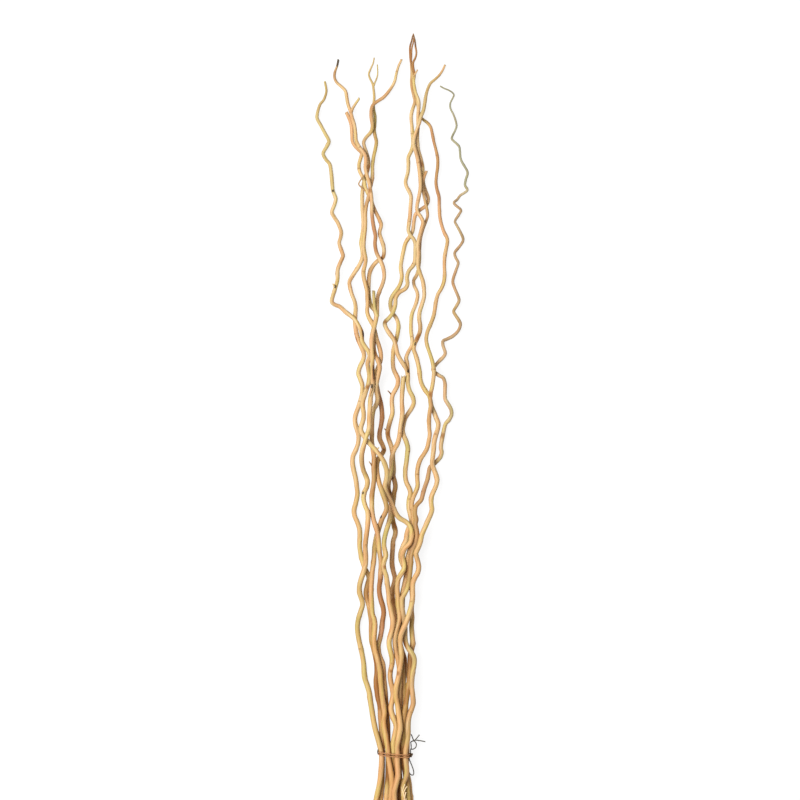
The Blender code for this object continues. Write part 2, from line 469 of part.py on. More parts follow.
def twig_runs(runs):
    """The short twigs: each starts inside its stem and rises a little towards its end."""
    twigs = []
    stems = {run["node"]: run for run in reversed(runs)}
    for name, end_size, root_size, points in TWIGS:
        stem = stems[name]
        flat = smooth_curve(points, TWIG_STEP)
        from_root = distances(flat[::-1])[::-1]
        root_height = np.interp(flat[-1, 1], stem["flat"][::-1, 1], stem["height"][::-1])
        share = from_root / from_root[0]
        radii = 0.5 * (root_size + (end_size - root_size) * share)
        height = root_height + TWIG_LIFT * from_root
        twigs.append(dict(node=name, flat=flat, radii=radii, height=height))
    return twigs


# Meshes

def tube(route, radii, sides, closed=False):
    """A tube's vertices and faces round a route in millimetres, with flat ends unless it is closed."""
    route = np.array(route, float)
    count = len(route)
    if closed:
        heading = np.roll(route, -1, axis=0) - np.roll(route, 1, axis=0)
    else:
        heading = np.gradient(route, axis=0)
    heading /= np.linalg.norm(heading, axis=1)[:, None]
    side = np.cross(heading, (0, 0, 1))
    if closed:
        side = np.cross(heading, (0, 1, 0))
    side /= np.linalg.norm(side, axis=1)[:, None]
    up = np.cross(side, heading)
    turns = np.arange(sides) * 2 * math.pi / sides
    ring = np.cos(turns)[None, :, None] * side[:, None] + np.sin(turns)[None, :, None] * up[:, None]
    corners = (route[:, None] + ring * np.asarray(radii)[:, None, None]).reshape(-1, 3)
    faces = []
    for i in range(count if closed else count - 1):
        here = i * sides
        there = (i + 1) % count * sides
        for k in range(sides):
            following = (k + 1) % sides
            faces.append((here + k, here + following, there + following, there + k))
    if not closed:
        faces.append(tuple(range(sides - 1, -1, -1)))
        faces.append(tuple(range((count - 1) * sides, count * sides)))
    return corners, faces


def solid(name, corners, faces):
    """A mesh object from corners in millimetres, with its faces pointing out."""
    mesh = bpy.data.meshes.new(name)
    mesh.from_pydata([tuple(corner) for corner in np.asarray(corners) * MM], [], faces)
    form = bmesh.new()
    form.from_mesh(mesh)
    bmesh.ops.recalc_face_normals(form, faces=form.faces)
    form.to_mesh(mesh)
    form.free()
    made = bpy.data.objects.new(name, mesh)
    bpy.context.scene.collection.objects.link(made)
    return made


def fuse(main, others):
    """Joins the others into the main object as one body, and removes them."""
    extras = bpy.data.collections.new("extras")
    bpy.context.scene.collection.children.link(extras)
    for other in others:
        bpy.context.scene.collection.objects.unlink(other)
        extras.objects.link(other)
    union = main.modifiers.new("union", "BOOLEAN")
    union.operation = "UNION"
    union.operand_type = "COLLECTION"
    union.collection = extras
    union.solver = "MANIFOLD"
    bpy.context.view_layer.update()
    graph = bpy.context.evaluated_depsgraph_get()
    joined = bpy.data.meshes.new_from_object(main.evaluated_get(graph))
    main.modifiers.clear()
    main.data = joined
    for other in others:
        bpy.data.objects.remove(other)
    bpy.data.collections.remove(extras)


def finish(made, colour, roughness):
    """Smooth shading and a plain material."""
    surface = bpy.data.materials.new(made.name)
    surface.use_nodes = True
    shader = surface.node_tree.nodes["Principled BSDF"]
    shader.inputs["Base Color"].default_value = (*colour, 1)
    shader.inputs["Roughness"].default_value = roughness
    made.data.materials.clear()
    made.data.materials.append(surface)
    made.data.shade_smooth()
    made.data.set_sharp_from_angle(angle=SHARP_ANGLE)


# The twine

def hull(points):
    """The convex outline of points in a plane, in order round it."""
    ordered = sorted(map(tuple, points))
    outline = []
    for sweep in (ordered, ordered[::-1]):
        chain = []
        for point in sweep:
            while len(chain) > 1:
                ax, az = chain[-1][0] - chain[-2][0], chain[-1][1] - chain[-2][1]
                bx, bz = point[0] - chain[-1][0], point[1] - chain[-1][1]
                if ax * bz - az * bx > 0:
                    break
                chain.pop()
            chain.append(point)
        outline += chain[:-1]
    return np.array(outline)


def tie_outline(runs, along):
    """The twine's path round the stems: the outline of their sections at that place, even steps apart."""
    turns = np.linspace(0, 2 * math.pi, RIM_POINTS, endpoint=False)
    rim = []
    for run in runs:
        flat = run["flat"][::-1]
        if not flat[0, 1] < along < flat[-1, 1]:
            continue
        middle = np.interp(along, flat[:, 1], flat[:, 0])
        height = np.interp(along, flat[:, 1], run["height"][::-1])
        reach = np.interp(along, flat[:, 1], run["radii"][::-1]) + TWINE / 2 + TIE_CLEAR
        rim += [(middle + reach * math.cos(t), height + reach * math.sin(t)) for t in turns]
    outline = hull(rim)
    outline = np.vstack([outline, outline[:1]])
    run = distances(outline)
    places = np.linspace(0, run[-1], TIE_POINTS, endpoint=False)
    return np.column_stack([np.interp(places, run, outline[:, k]) for k in range(2)])


def twine_parts(runs):
    """Two turns round the stems, the knot at their right-hand side, two loops and the loose ends."""
    parts = []
    for turn in TIE_TURNS:
        outline = tie_outline(runs, TIE_ALONG + turn)
        along = TIE_ALONG + turn - TIE_SLANT * outline[:, 0]
        route = np.column_stack([outline[:, 0], along, outline[:, 1]])
        parts.append(tube(route, np.full(TIE_POINTS, TWINE / 2), TWINE_SIDES, closed=True))
    middle = tie_outline(runs, TIE_ALONG)[:, 1].mean()
    strands = [
        [(30.2, 185.5, -1), (33.4, 177.6, 1), (35.3, 173.6, 3), (38.4, 170.8, 3.5), (39.7, 167.2, 3),
         (39.3, 163.5, 3), (37.7, 160.8, 3), (33, 158.1, 2), (29.6, 158.8, 1)],
        [(29.6, 149, 0), (28.9, 156, 1), (30.2, 160, 1), (29.9, 167, 1), (29.4, 171.2, 1),
         (32.5, 173, 1.5), (35.3, 173.8, 1.5), (38.5, 176, 1), (45.3, 184.4, -1)],
        [(31, 172, -0.5), (35.3, 174, -0.5), (40.1, 174.4, -1), (44.9, 173.6, -2), (49.7, 172.8, -3),
         (56.1, 171.2, -5)],
        [(29.6, 147, 0), (27.2, 143, 2.5), (26.6, 140.9, 3), (28.9, 134.5, 4), (31.8, 127.3, 4),
         (34.2, 120.2, 4), (35, 114.6, 4), (34, 111.6, 3.5), (32.2, 110.6, 3), (29.5, 111.6, 2),
         (27.4, 113.8, 1), (25.6, 118, 1), (24.6, 126, 1), (24, 137, 1), (26.5, 143, 0), (29.6, 147, 0)],
        [(-30.8, 149.5, 0), (-31.6, 153, 1), (-30.8, 157.5, 1.5)],
    ]
    for strand in strands:
        route = smooth_curve([(x, y, z + middle) for x, y, z in strand], 2 * TWINE)
        parts.append(tube(route, np.full(len(route), TWINE / 2), TWINE_SIDES))
    return parts, middle


# The bunch

def main():
    for old in list(bpy.data.objects):
        bpy.data.objects.remove(old)
    runs = stem_runs()
    tubes = []
    for run in runs + twig_runs(runs):
        route = np.column_stack([run["flat"], run["height"]])
        corners, faces = tube(route, run["radii"] / math.cos(math.pi / STEM_SIDES) ** 0.5, STEM_SIDES)
        corners[:, 2] = np.maximum(corners[:, 2], 0)
        tubes.append((run["node"], corners, faces))
    strands, middle = twine_parts(runs)
    everything = np.vstack([corners for _, corners, _ in tubes] + [corners for corners, _ in strands])
    low, high = everything.min(axis=0), everything.max(axis=0)
    origin = np.array([(low[0] + high[0]) / 2, (low[1] + high[1]) / 2, low[2]])

    for name in ROUTES:
        pieces = [solid(name, corners - origin, faces) for node, corners, faces in tubes if node == name]
        if len(pieces) > 1:
            fuse(pieces[0], pieces[1:])
        finish(pieces[0], BARK[BARK_OF.get(name, "peeled")], WOOD_ROUGHNESS)

    pieces = [solid("twine_tie", corners - origin, faces) for corners, faces in strands]
    knot = bmesh.new()
    bmesh.ops.create_icosphere(knot, subdivisions=1, radius=1)
    lump = np.array([corner.co[:] for corner in knot.verts]) * KNOT_SIZE
    faces = [[corner.index for corner in face.verts] for face in knot.faces]
    knot.free()
    pieces.append(solid("knot", lump + (*KNOT, middle) - origin, faces))
    fuse(pieces[0], pieces[1:])
    finish(pieces[0], TWINE_COLOUR, TWINE_ROUGHNESS)


main()
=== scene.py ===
# A bunch of peeled curly willow stems, tied low down with twine and laid on a pale floor.
# It is seen from straight above, so that its tips are at the top of the picture.

import math
import random

import bpy
import numpy as np
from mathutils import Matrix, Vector, noise
from mathutils.bvhtree import BVHTree


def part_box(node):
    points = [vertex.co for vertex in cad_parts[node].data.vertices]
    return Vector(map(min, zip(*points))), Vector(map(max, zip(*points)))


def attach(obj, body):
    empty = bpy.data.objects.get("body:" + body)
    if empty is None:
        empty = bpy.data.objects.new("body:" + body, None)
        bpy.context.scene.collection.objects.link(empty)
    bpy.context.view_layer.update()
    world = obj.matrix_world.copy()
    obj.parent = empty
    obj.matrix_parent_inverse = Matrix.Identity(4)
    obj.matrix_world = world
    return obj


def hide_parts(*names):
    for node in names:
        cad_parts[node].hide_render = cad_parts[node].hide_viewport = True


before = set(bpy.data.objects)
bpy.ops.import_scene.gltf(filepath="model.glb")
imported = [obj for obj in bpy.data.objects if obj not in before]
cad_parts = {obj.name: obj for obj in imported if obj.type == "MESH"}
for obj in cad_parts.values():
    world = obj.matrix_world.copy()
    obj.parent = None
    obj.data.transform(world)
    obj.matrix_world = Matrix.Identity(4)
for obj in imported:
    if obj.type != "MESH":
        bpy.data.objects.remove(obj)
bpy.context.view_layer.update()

MM = 0.001


# The camera, high above the bunch and square to the floor, as far off as a long lens needs.
# The lower edge of the picture cuts the bunch a little way under the twine.

PICTURE_WIDTH = 1.472
CAMERA_HEIGHT = 6.0
BUNCH_HEIGHT = 0.022
PICTURE_MIDDLE = (0.0149, 0.0688)
SENSOR = 36.0
FAR_ENOUGH = 50


def show(name, data):
    """Puts an object with this data into the scene."""
    thing = bpy.data.objects.new(name, data)
    bpy.context.scene.collection.objects.link(thing)
    return thing


camera_data = bpy.data.cameras.new("camera")
camera_data.sensor_fit = "HORIZONTAL"
camera_data.sensor_width = SENSOR
camera_data.lens = SENSOR * (CAMERA_HEIGHT - BUNCH_HEIGHT) / PICTURE_WIDTH
camera_data.clip_end = FAR_ENOUGH
camera = show("camera", camera_data)
camera.location = (*PICTURE_MIDDLE, CAMERA_HEIGHT)
bpy.context.scene.camera = camera


# The floor: a light table, a large sheet of smooth white acrylic lit faintly from below, so that shadows
# on it stay pale and it reads as a plain white ground.

FLOOR_SIDE = 12.0
FLOOR_GREY = 0.12
FLOOR_LIT = 0.88
FLOOR_ROUGHNESS = 0.9
FLOOR_SHEEN = 0.1


def new_material(name):
    """A new material, its node tree and its shader."""
    material = bpy.data.materials.new(name)
    material.use_nodes = True
    return material, material.node_tree, material.node_tree.nodes["Principled BSDF"]


def set_values(node, values):
    """Sets plain values on a node's input sockets."""
    for label, value in values.items():
        node.inputs[label].default_value = value


half = FLOOR_SIDE / 2
floor_corners = [(-half, -half, 0), (half, -half, 0), (half, half, 0), (-half, half, 0)]
floor_mesh = bpy.data.meshes.new("floor")
floor_mesh.from_pydata(floor_corners, [], [(0, 1, 2, 3)])
floor = show("floor", floor_mesh)
board, _, board_shader = new_material("white acrylic")
set_values(board_shader, {
    "Base Color": (FLOOR_GREY, FLOOR_GREY, FLOOR_GREY, 1),
    "Roughness": FLOOR_ROUGHNESS,
    "Specular IOR Level": FLOOR_SHEEN,
    "Emission Color": (1, 1, 1, 1),
    "Emission Strength": FLOOR_LIT,
})
floor_mesh.materials.append(board)


# The light: one big soft box overhead, to the left, and a faint even glow from all round.

KEY_SIDE = 3.0
KEY_PLACE = (-1.9, 0.5, 4.2)
KEY_POWER = 362.0
GLOW = 0.36

key_data = bpy.data.lights.new("soft box", "AREA")
key_data.shape = "SQUARE"
key_data.size = KEY_SIDE
key_data.energy = KEY_POWER
key = show("soft box", key_data)
key.location = KEY_PLACE
key.rotation_euler = (-Vector(KEY_PLACE)).to_track_quat("-Z", "Y").to_euler()

world = bpy.data.worlds.new("studio")
world.use_nodes = True
set_values(world.node_tree.nodes["Background"], {"Color": (1, 1, 1, 1), "Strength": GLOW})
bpy.context.scene.world = world
bpy.context.scene.view_settings.view_transform = "Standard"


# Stem 01, the leftmost at its tip. Like all the stems it is one curly willow rod, stripped of its bark
# while green and dried, with faint grain, leaf scars, and stains where sap and under-bark stayed on. Its
# flanks and underside also carry painted shade.
# It swings over to the right of the bunch at half height, and was cut with shears at the foot.

# Millimetres between the rings of a rod, and along it over which its heights are eased. Then how many
# radii its middle may lie above the imported model's underside, and how far out that model's corners reach.
RING_STEP = 2.0
HEIGHT_REACH = 14.0
SEAT = 1.3
CORNER_REACH = 1 / math.cos(math.pi / 6) ** 0.5
ROD_SIDES = 16
CURVE_STEPS = 8
# A stem's diameter by how far it is from the cut ends. A slender stem has a list of its own.
STOUT = [
    (0, 10.2), (150, 9.6), (400, 9.0), (600, 8.6), (800, 8.1), (1000, 7.2), (1200, 6.6), (1350, 6.2),
    (1475, 5.0),
]
TIP_DIAMETER = 3.8
FINE_TIP_DIAMETER = 2.4
TIP_TAPER = 0.03
TWIG_STEP = 1.5
TWIG_LIFT = 0.25
TWIG_FLARE = 0.45
TWIG_SIDES = 10
TWIG_SWELL = 0.4

STEM_01_ROUTE = [
    (-129, 1387), (-126.5, 1375), (-126.5, 1366), (-131, 1353), (-138, 1344), (-143, 1327),
    (-143, 1319), (-137, 1308), (-129, 1293), (-121.5, 1278), (-125, 1268), (-132, 1255),
    (-127, 1244), (-120, 1235), (-117, 1217), (-115.5, 1200), (-114, 1186), (-109, 1172),
    (-111, 1161), (-116, 1147), (-112, 1138), (-105, 1127), (-99, 1111), (-100, 1100),
    (-102.5, 1089), (-97, 1072), (-95.5, 1065), (-100, 1054), (-105, 1040), (-105.5, 1022),
    (-109, 1008), (-113, 995), (-116, 982), (-111, 976), (-101, 972), (-90, 962), (-75, 950),
    (-67, 938), (-61, 924), (-60, 909), (-54, 898), (-48, 889), (-46, 880), (-50, 869),
    (-49, 858), (-47, 845), (-48, 832), (-53, 816), (-59, 795), (-57, 775), (-58, 763),
    (-62, 750), (-61, 742), (-56, 734), (-49, 724), (-40, 714), (-32, 705), (-24, 695),
    (-18, 683), (-14.5, 669), (-15, 656), (-18, 643), (-15, 630), (-9, 617), (-3, 604),
    (2, 592), (9, 583), (22, 575), (30, 564), (31, 552), (28, 538), (18, 527), (14, 514),
    (17, 500), (17, 490), (12, 481), (7, 472), (5, 462), (4.5, 450), (5.5, 438), (6, 425),
    (8, 411), (9, 400), (6, 386), (3, 374), (0.5, 360), (0.5, 350), (3, 336), (6, 322),
    (9, 305), (9, 285), (8, 265), (8, 250), (7, 225), (4, 200), (0, 175), (-2, 147),
    (-2.5, 120), (-2.5, 95), (-3, 70), (-4, 45), (-3, 20), (-2, 3),
]


def distances(points):
    """How far along a run of points each of them lies, from the first."""
    return np.concatenate([[0], np.cumsum(np.linalg.norm(np.diff(points, axis=0), axis=1))])


def smooth_curve(points, spacing):
    """Points at even steps along a smooth curve through the given points."""
    given = np.array(points, float)
    given = np.vstack([2 * given[0] - given[1], given, 2 * given[-1] - given[-2]])
    fine = []
    for a, b, c, d in zip(given, given[1:], given[2:], given[3:]):
        for t in np.arange(0, 1, 1 / CURVE_STEPS):
            bend = (2 * a - 5 * b + 4 * c - d) * t ** 2 + (3 * b - a - 3 * c + d) * t ** 3
            fine.append(0.5 * (2 * b + (c - a) * t + bend))
    fine.append(given[-2])
    fine = np.array(fine)
    run = distances(fine)
    count = max(3, round(run[-1] / spacing) + 1)
    places = np.linspace(0, run[-1], count)
    return np.column_stack([np.interp(places, run, fine[:, k]) for k in range(fine.shape[1])])


def girth_along(plan, girth, tip):
    """A rod's radius along its drawn plan, thinned towards a tip of that diameter. A tip of None, which
    is one that broke off, isn't thinned."""
    diameter = np.interp(plan[:, 1], [place for place, _ in girth], [size for _, size in girth])
    if tip is not None:
        diameter = np.minimum(diameter, tip + TIP_TAPER * distances(plan))
    return diameter / 2


# The routes are drawn in millimetres from the bunch's middle line and its cut ends. Where that drawing
# lies in the model comes from the box of this first stem.
drawn = smooth_curve(STEM_01_ROUTE, RING_STEP)
reach = girth_along(drawn, STOUT, TIP_DIAMETER) * CORNER_REACH
low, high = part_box("stem_01")
SHIFT = np.array([
    (low.x + high.x) / 2 / MM - ((drawn[:, 0] - reach).min() + (drawn[:, 0] + reach).max()) / 2,
    (low.y + high.y) / 2 / MM - (drawn[:, 1].min() + drawn[:, 1].max()) / 2,
])


def lie_on_frame(name, plan, radii):
    """Heights of a rod's middle line over its plan: halfway between the top and the underside of the
    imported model's stem there, but near the underside where another part of it passes above. A low
    stretch rests on the floor on its own thickness."""
    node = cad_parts[name]
    corners = [corner.co[:] for corner in node.data.vertices]
    faces = [face.vertices[:] for face in node.data.polygons]
    solid = BVHTree.FromPolygons(corners, faces)
    found, heights = [], []
    for place, (x, y) in enumerate(plan * MM):
        top = solid.ray_cast((x, y, 1), (0, 0, -1))[0]
        under = solid.ray_cast((x, y, -1), (0, 0, 1))[0]
        if top is None or under is None:
            continue
        found.append(place)
        heights.append(min((top.z + under.z) / 2 / MM, under.z / MM + SEAT * radii[place]))
    heights = np.interp(np.arange(len(plan)), found, heights)
    step = np.linalg.norm(plan[1] - plan[0])
    reach = round(HEIGHT_REACH / step)
    ease = 1 + np.cos(math.pi * np.arange(-reach, reach + 1) / (reach + 1))
    heights = np.convolve(np.pad(heights, reach, "edge"), ease / ease.sum(), "valid")
    return np.maximum(heights, radii)


# The marks that a rod's skin carries from place to place, each a value from 0 to 1. The brown mark is
# real under-bark in places and painted shade in others.
MARKS = ("green", "rosy", "brown", "bark", "scar", "aged", "pale", "heart")

# How much fuller than its drawn girth a rod is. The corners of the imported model's six-sided rods reach
# further out than this. Its girth wavers by a share of the radius, over so many millimetres.
FULLNESS = 1.04
WAVER = 0.09
WAVER_LENGTH = 23
FLUTES = 3
FLUTE_DEPTH = 0.045
FLUTE_LENGTH = 60
FLUTE_TWIST = 0.02

# Leaf scars: millimetres between them and bare at either end, how they turn round the rod, the swelling
# and the collar under each as height, length and width, and the mark itself as length and width
SCAR_SPACING = (26, 60)
FIRST_SCAR = (14, 34)
SCARLESS_FOOT = 12
SCAR_TURN = 0.4 * 2 * math.pi
SCAR_TURN_PLAY = 0.5
SCAR_SIZES = (0.4, 1.0)
SCAR_NEAR = 16
SCAR_HUMP = (0.15, 3.6, 2.6)
SCAR_COLLAR = (0.07, 5.5)
SCAR_MARK = (1.1, 1.7)
SCAR_REACH = 3.0

# The grain's slow turn round a rod, and how far apart in the grain's pattern two rods are taken
GRAIN_TWIST = 0.035
GRAIN_APART = 400

# Above this height the wood is young, and below it the older the nearer it is to the foot. A rod is
# browner on its flanks and underside, in patches, and most where it is old: painted shade of its round side.
# It is also painted dark in a band between the twine's two turns, which go round the stems on a slant:
# painted shade in the gap between them.
YOUNG_FROM = 900
FLANK_SHADE = 0.75
TIP_FLANK_SHADE = 0.4
FLANK_SHADE_EDGE = 0.75
FLANK_SHADE_PATCHES = 0.5
FLANK_SHADE_PATCH_LENGTH = 30
TIE_ALONG = 148.5
TIE_SLANT = 0.07
TWINE_GAP_SHADE_WIDTH = 2.4
TWINE_GAP_SHADE = 0.9


def drift(run, length, offset, row):
    """Slow uneven changes along a rod, from -1 to 1, over lengths of that size."""
    return np.array([noise.noise(Vector((place / length, offset, row))) for place in run])


def units(arrows):
    """Arrows as directions of length one."""
    return arrows / np.linalg.norm(arrows, axis=1)[:, None]


def spokes_of(turns, first, second):
    """The spokes of every ring of a tube, from its two directions square to the tube."""
    return np.cos(turns)[None, :, None] * first[:, None] + np.sin(turns)[None, :, None] * second[:, None]


def rod(line, radii, seed, sides=ROD_SIDES, ends=("point", "cut"), swell=1.0):
    """The skin of one rod, from its tip to its foot, in millimetres: the corners of its rings, the places
    that they had while it grew straight, and its marks. ends says how the tip and the foot end."""
    dice = random.Random(seed)
    run = distances(line)
    heading = units(np.gradient(line, axis=0))
    side = units(np.cross(heading, (0, 0, 1)))
    turns = np.arange(sides) * 2 * math.pi / sides
    spokes = spokes_of(turns, side, np.cross(side, heading))

    # Uneven growth: slow changes of girth, and shallow flutes along the wood
    offset = dice.uniform(0, 50)
    slow = drift(run, WAVER_LENGTH, offset, 0.5)
    turning = drift(run, FLUTE_LENGTH, offset, 9.5)
    flutes = np.cos(FLUTES * turns[None, :] + FLUTE_TWIST * run[:, None] + offset) * turning[:, None]
    reach = FULLNESS * radii[:, None] * (1 + swell * (WAVER * slow[:, None] + FLUTE_DEPTH * flutes))
    marks = {kind: np.zeros((len(line), sides)) for kind in MARKS}
    age = np.clip(1 - (line[:, 1] - SHIFT[1]) / YOUNG_FROM, 0, 1)
    marks["aged"] += age[:, None]
    # Painted shade: a darker brown on the flanks and underside, in patches, strongest where the wood is old
    flank_shade_unevenness = drift(run, FLANK_SHADE_PATCH_LENGTH, offset, 4.5)
    painted_flank_shade = np.clip(FLANK_SHADE_EDGE - np.sin(turns)[None, :] + FLANK_SHADE_PATCHES * flank_shade_unevenness[:, None], 0, 1)
    # Painted shade: a dark slanting band in the gap between the twine's two turns
    from_tie = (line[:, 1] - SHIFT[1] - TIE_ALONG + TIE_SLANT * (line[:, 0] - SHIFT[0])) / TWINE_GAP_SHADE_WIDTH
    marks["brown"] += TWINE_GAP_SHADE * np.exp(-from_tie ** 2)[:, None]
    marks["brown"] += painted_flank_shade * (TIP_FLANK_SHADE + (FLANK_SHADE - TIP_FLANK_SHADE) * np.sqrt(age))[:, None]

    # Leaf scars, two fifths of a turn apart up the rod, each on a small swelling
    height, length, width = SCAR_HUMP
    collar_height, collar_length = SCAR_COLLAR
    place = dice.uniform(*FIRST_SCAR)
    turn = dice.uniform(0, 6)
    while place < run[-1] - SCARLESS_FOOT and swell > 0:
        near = np.abs(run - place) < SCAR_NEAR
        along_it = (run - place)[near][:, None]
        off = (turns - turn + math.pi) % (2 * math.pi) - math.pi
        round_it = off[None, :] * radii[near][:, None]
        size = dice.uniform(*SCAR_SIZES)
        hump = np.exp(-(along_it / length) ** 2 - (round_it / width) ** 2)
        collar = np.exp(-(along_it / collar_length) ** 2)
        reach[near] += swell * size * (height * hump + collar_height * collar) * radii[near][:, None]
        far = np.sqrt((along_it / SCAR_MARK[0]) ** 2 + (round_it / SCAR_MARK[1]) ** 2)
        marks["scar"][near] = np.maximum(marks["scar"][near], size * np.clip(1 - far / SCAR_REACH, 0, 1))
        place += dice.uniform(*SCAR_SPACING)
        turn += SCAR_TURN + dice.uniform(-SCAR_TURN_PLAY, SCAR_TURN_PLAY)

    twist = turns[None, :] + GRAIN_TWIST * run[:, None]
    along = np.repeat((run + GRAIN_APART * offset)[:, None], sides, axis=1)
    grown = np.stack([reach * np.cos(twist), reach * np.sin(twist), along], axis=2)
    corners = line[:, None] + spokes * reach[:, :, None]
    return dict(
        line=line, radii=radii, run=run, heading=heading, side=side, turns=turns,
        corners=corners, grown=grown, marks=marks, ends=ends, seed=seed,
    )


STAIN_FADE = 16.0
SPOT_CORE = 1.5
SPOT_FADE = 0.75
SPOT_LEAN = 0.95


def stain_and_shade(shoot, kind, start, end, strength, fade=STAIN_FADE):
    """Marks a length of a rod, given along the bunch, fading out at both ends. It lays real stains, and
    painted shade where a stem's list says so.
    """
    along = shoot["line"][:, 1] - SHIFT[1]
    rise = np.clip((along - start) / fade + 0.5, 0, 1) * np.clip((end - along) / fade + 0.5, 0, 1)
    shoot["marks"][kind] = np.maximum(shoot["marks"][kind], (strength * rise)[:, None])


def nearest(shoot, place):
    """Which ring of a rod lies nearest to a place, seen from above."""
    return np.linalg.norm(shoot["line"][:, :2] - place, axis=1).argmin()


def spot(shoot, kind, across, along, long, wide):
    """A mark on the upper side of a rod, at a place of the drawing."""
    place = np.array([across, along]) + SHIFT
    near = nearest(shoot, place)
    away = place - shoot["line"][near, :2]
    lean = np.clip(away @ shoot["side"][near, :2] / shoot["radii"][near], -SPOT_LEAN, SPOT_LEAN)
    off = (shoot["turns"] - math.acos(lean) + math.pi) % (2 * math.pi) - math.pi
    round_it = off[None, :] * shoot["radii"][:, None]
    along_it = (shoot["run"] - shoot["run"][near])[:, None]
    far = np.sqrt((along_it / (long / 2)) ** 2 + (round_it / (wide / 2)) ** 2)
    shoot["marks"][kind] = np.maximum(shoot["marks"][kind], np.clip(SPOT_CORE - SPOT_FADE * far, 0, 1))


# How an end closes: rings from its rim inwards, each so far out and so wide in radii, and heartwood or not
ENDS = {
    "point": [(0.35, 0.86, 0), (0.60, 0.60, 0), (0.72, 0.25, 0)],
    "cut": [(0.10, 0.98, 0), (0.15, 0.96, 1), (0.17, 0.62, 1), (0.15, 0.30, 1), (0.04, 0.12, 1)],
    "snapped": [(0.15, 0.94, 0), (0.12, 0.90, 1), (-0.35, 0.60, 1), (-0.60, 0.30, 1)],
}
TEAR = 1.4
CUT_SLOPE = (0.08, 0.28)


def close_end(shoot, at):
    """The rings that close the tip (at 0) or the foot (at -1), slanting, and ragged where it snapped."""
    dice = random.Random(f"{shoot['seed']} end {at}")
    kind = shoot["ends"][at]
    out = shoot["heading"][at] * (1 if at else -1)
    middle = shoot["line"][at]
    radius = shoot["radii"][at]
    lean = dice.uniform(*CUT_SLOPE) * radius * np.cos(shoot["turns"] - dice.uniform(0, 6))
    tear = np.array([dice.uniform(0, TEAR) * radius for _ in shoot["turns"]])
    push = lean + tear if kind == "snapped" else lean
    spokes = shoot["corners"][at] - middle
    shoot["corners"][at] += push[:, None] * out
    rings = []
    for beyond, wide, heart in ENDS[kind]:
        ring = middle + spokes * wide + (push * wide + beyond * radius)[:, None] * out
        rings.append((ring, shoot["grown"][at] * (wide, wide, 1), heart))
    return rings


def flesh(shoots):
    """Several rods as one skin with closed ends: corners, faces, grown places and marks."""
    corners, faces, grown = [], [], []
    marks = {kind: [] for kind in MARKS}
    start = 0
    for shoot in shoots:
        sides = len(shoot["turns"])
        tip = close_end(shoot, 0)[::-1]
        foot = close_end(shoot, -1)
        rings = [ring for ring, _, _ in tip] + list(shoot["corners"]) + [ring for ring, _, _ in foot]
        straight = [place for _, place, _ in tip] + list(shoot["grown"]) + [place for _, place, _ in foot]
        hearts = [heart for _, _, heart in tip] + [0] * len(shoot["line"]) + [heart for _, _, heart in foot]
        count = len(rings)
        corners.append(np.vstack(rings + [rings[0].mean(axis=0), rings[-1].mean(axis=0)]))
        grown.append(np.vstack(straight + [straight[0].mean(axis=0), straight[-1].mean(axis=0)]))
        for kind, field in shoot["marks"].items():
            rows = [field[0]] * len(tip) + list(field) + [field[-1]] * len(foot)
            if kind == "heart":
                rows = [np.full(sides, heart, float) for heart in hearts]
            marks[kind].append(np.concatenate(rows + [rows[0][:1], rows[-1][:1]]))
        for k in range(sides):
            after = (k + 1) % sides
            for ring in range(start, start + (count - 1) * sides, sides):
                faces.append((ring + k, ring + sides + k, ring + sides + after, ring + after))
            last = start + (count - 1) * sides
            faces.append((last + sides, start + k, start + after))
            faces.append((last + sides + 1, last + after, last + k))
        start += count * sides + 2
    marks = {kind: np.concatenate(fields) for kind, fields in marks.items()}
    return np.vstack(corners), faces, np.vstack(grown), marks


def mesh_of(name, corners, faces, grown, marks, material):
    """A smooth mesh from corners and grown places in millimetres, with its marks as attributes."""
    mesh = bpy.data.meshes.new(name)
    mesh.from_pydata([tuple(corner) for corner in corners * MM], [], faces)
    mesh.attributes.new("grown", "FLOAT_VECTOR", "POINT").data.foreach_set("vector", (grown * MM).ravel())
    for kind, values in marks.items():
        mesh.attributes.new(kind, "FLOAT", "POINT").data.foreach_set("value", values)
    mesh.materials.append(material)
    mesh.shade_smooth()
    return mesh


# The stems' main rods, which the twine goes round
bundle = []


def piece_of(name, shoots, material):
    """One mesh piece from a stem's main rod and its side shoots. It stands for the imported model's node
    of that name."""
    corners, faces, grown, marks = flesh(shoots)
    corners[:, 2] = np.maximum(corners[:, 2], 0)
    piece = show(f"{name}_wood", mesh_of(name, corners, faces, grown, marks, material))
    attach(piece, "root")
    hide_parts(name)
    bundle.append(shoots[0])


def line_on_frame(name, route, girth, tip=TIP_DIAMETER):
    """A rod's middle line in the model, and its radius along it, from its drawn route."""
    plan = smooth_curve(route, RING_STEP)
    radii = girth_along(plan, girth, tip)
    return np.column_stack([plan + SHIFT, lie_on_frame(name, plan + SHIFT, radii)]), radii


def stem_rod(name, route, stains_and_shade, spots, girth=STOUT, tip=TIP_DIAMETER, top="point"):
    """A stem's main rod, with its stained lengths and its spots. top says how its tip ends."""
    line, radii = line_on_frame(name, route, girth, tip)
    stem = rod(line, radii, name.replace("_", " "), ends=(top, "cut"))
    for values in stains_and_shade:
        stain_and_shade(stem, *values)
    for values in spots:
        spot(stem, *values)
    return stem


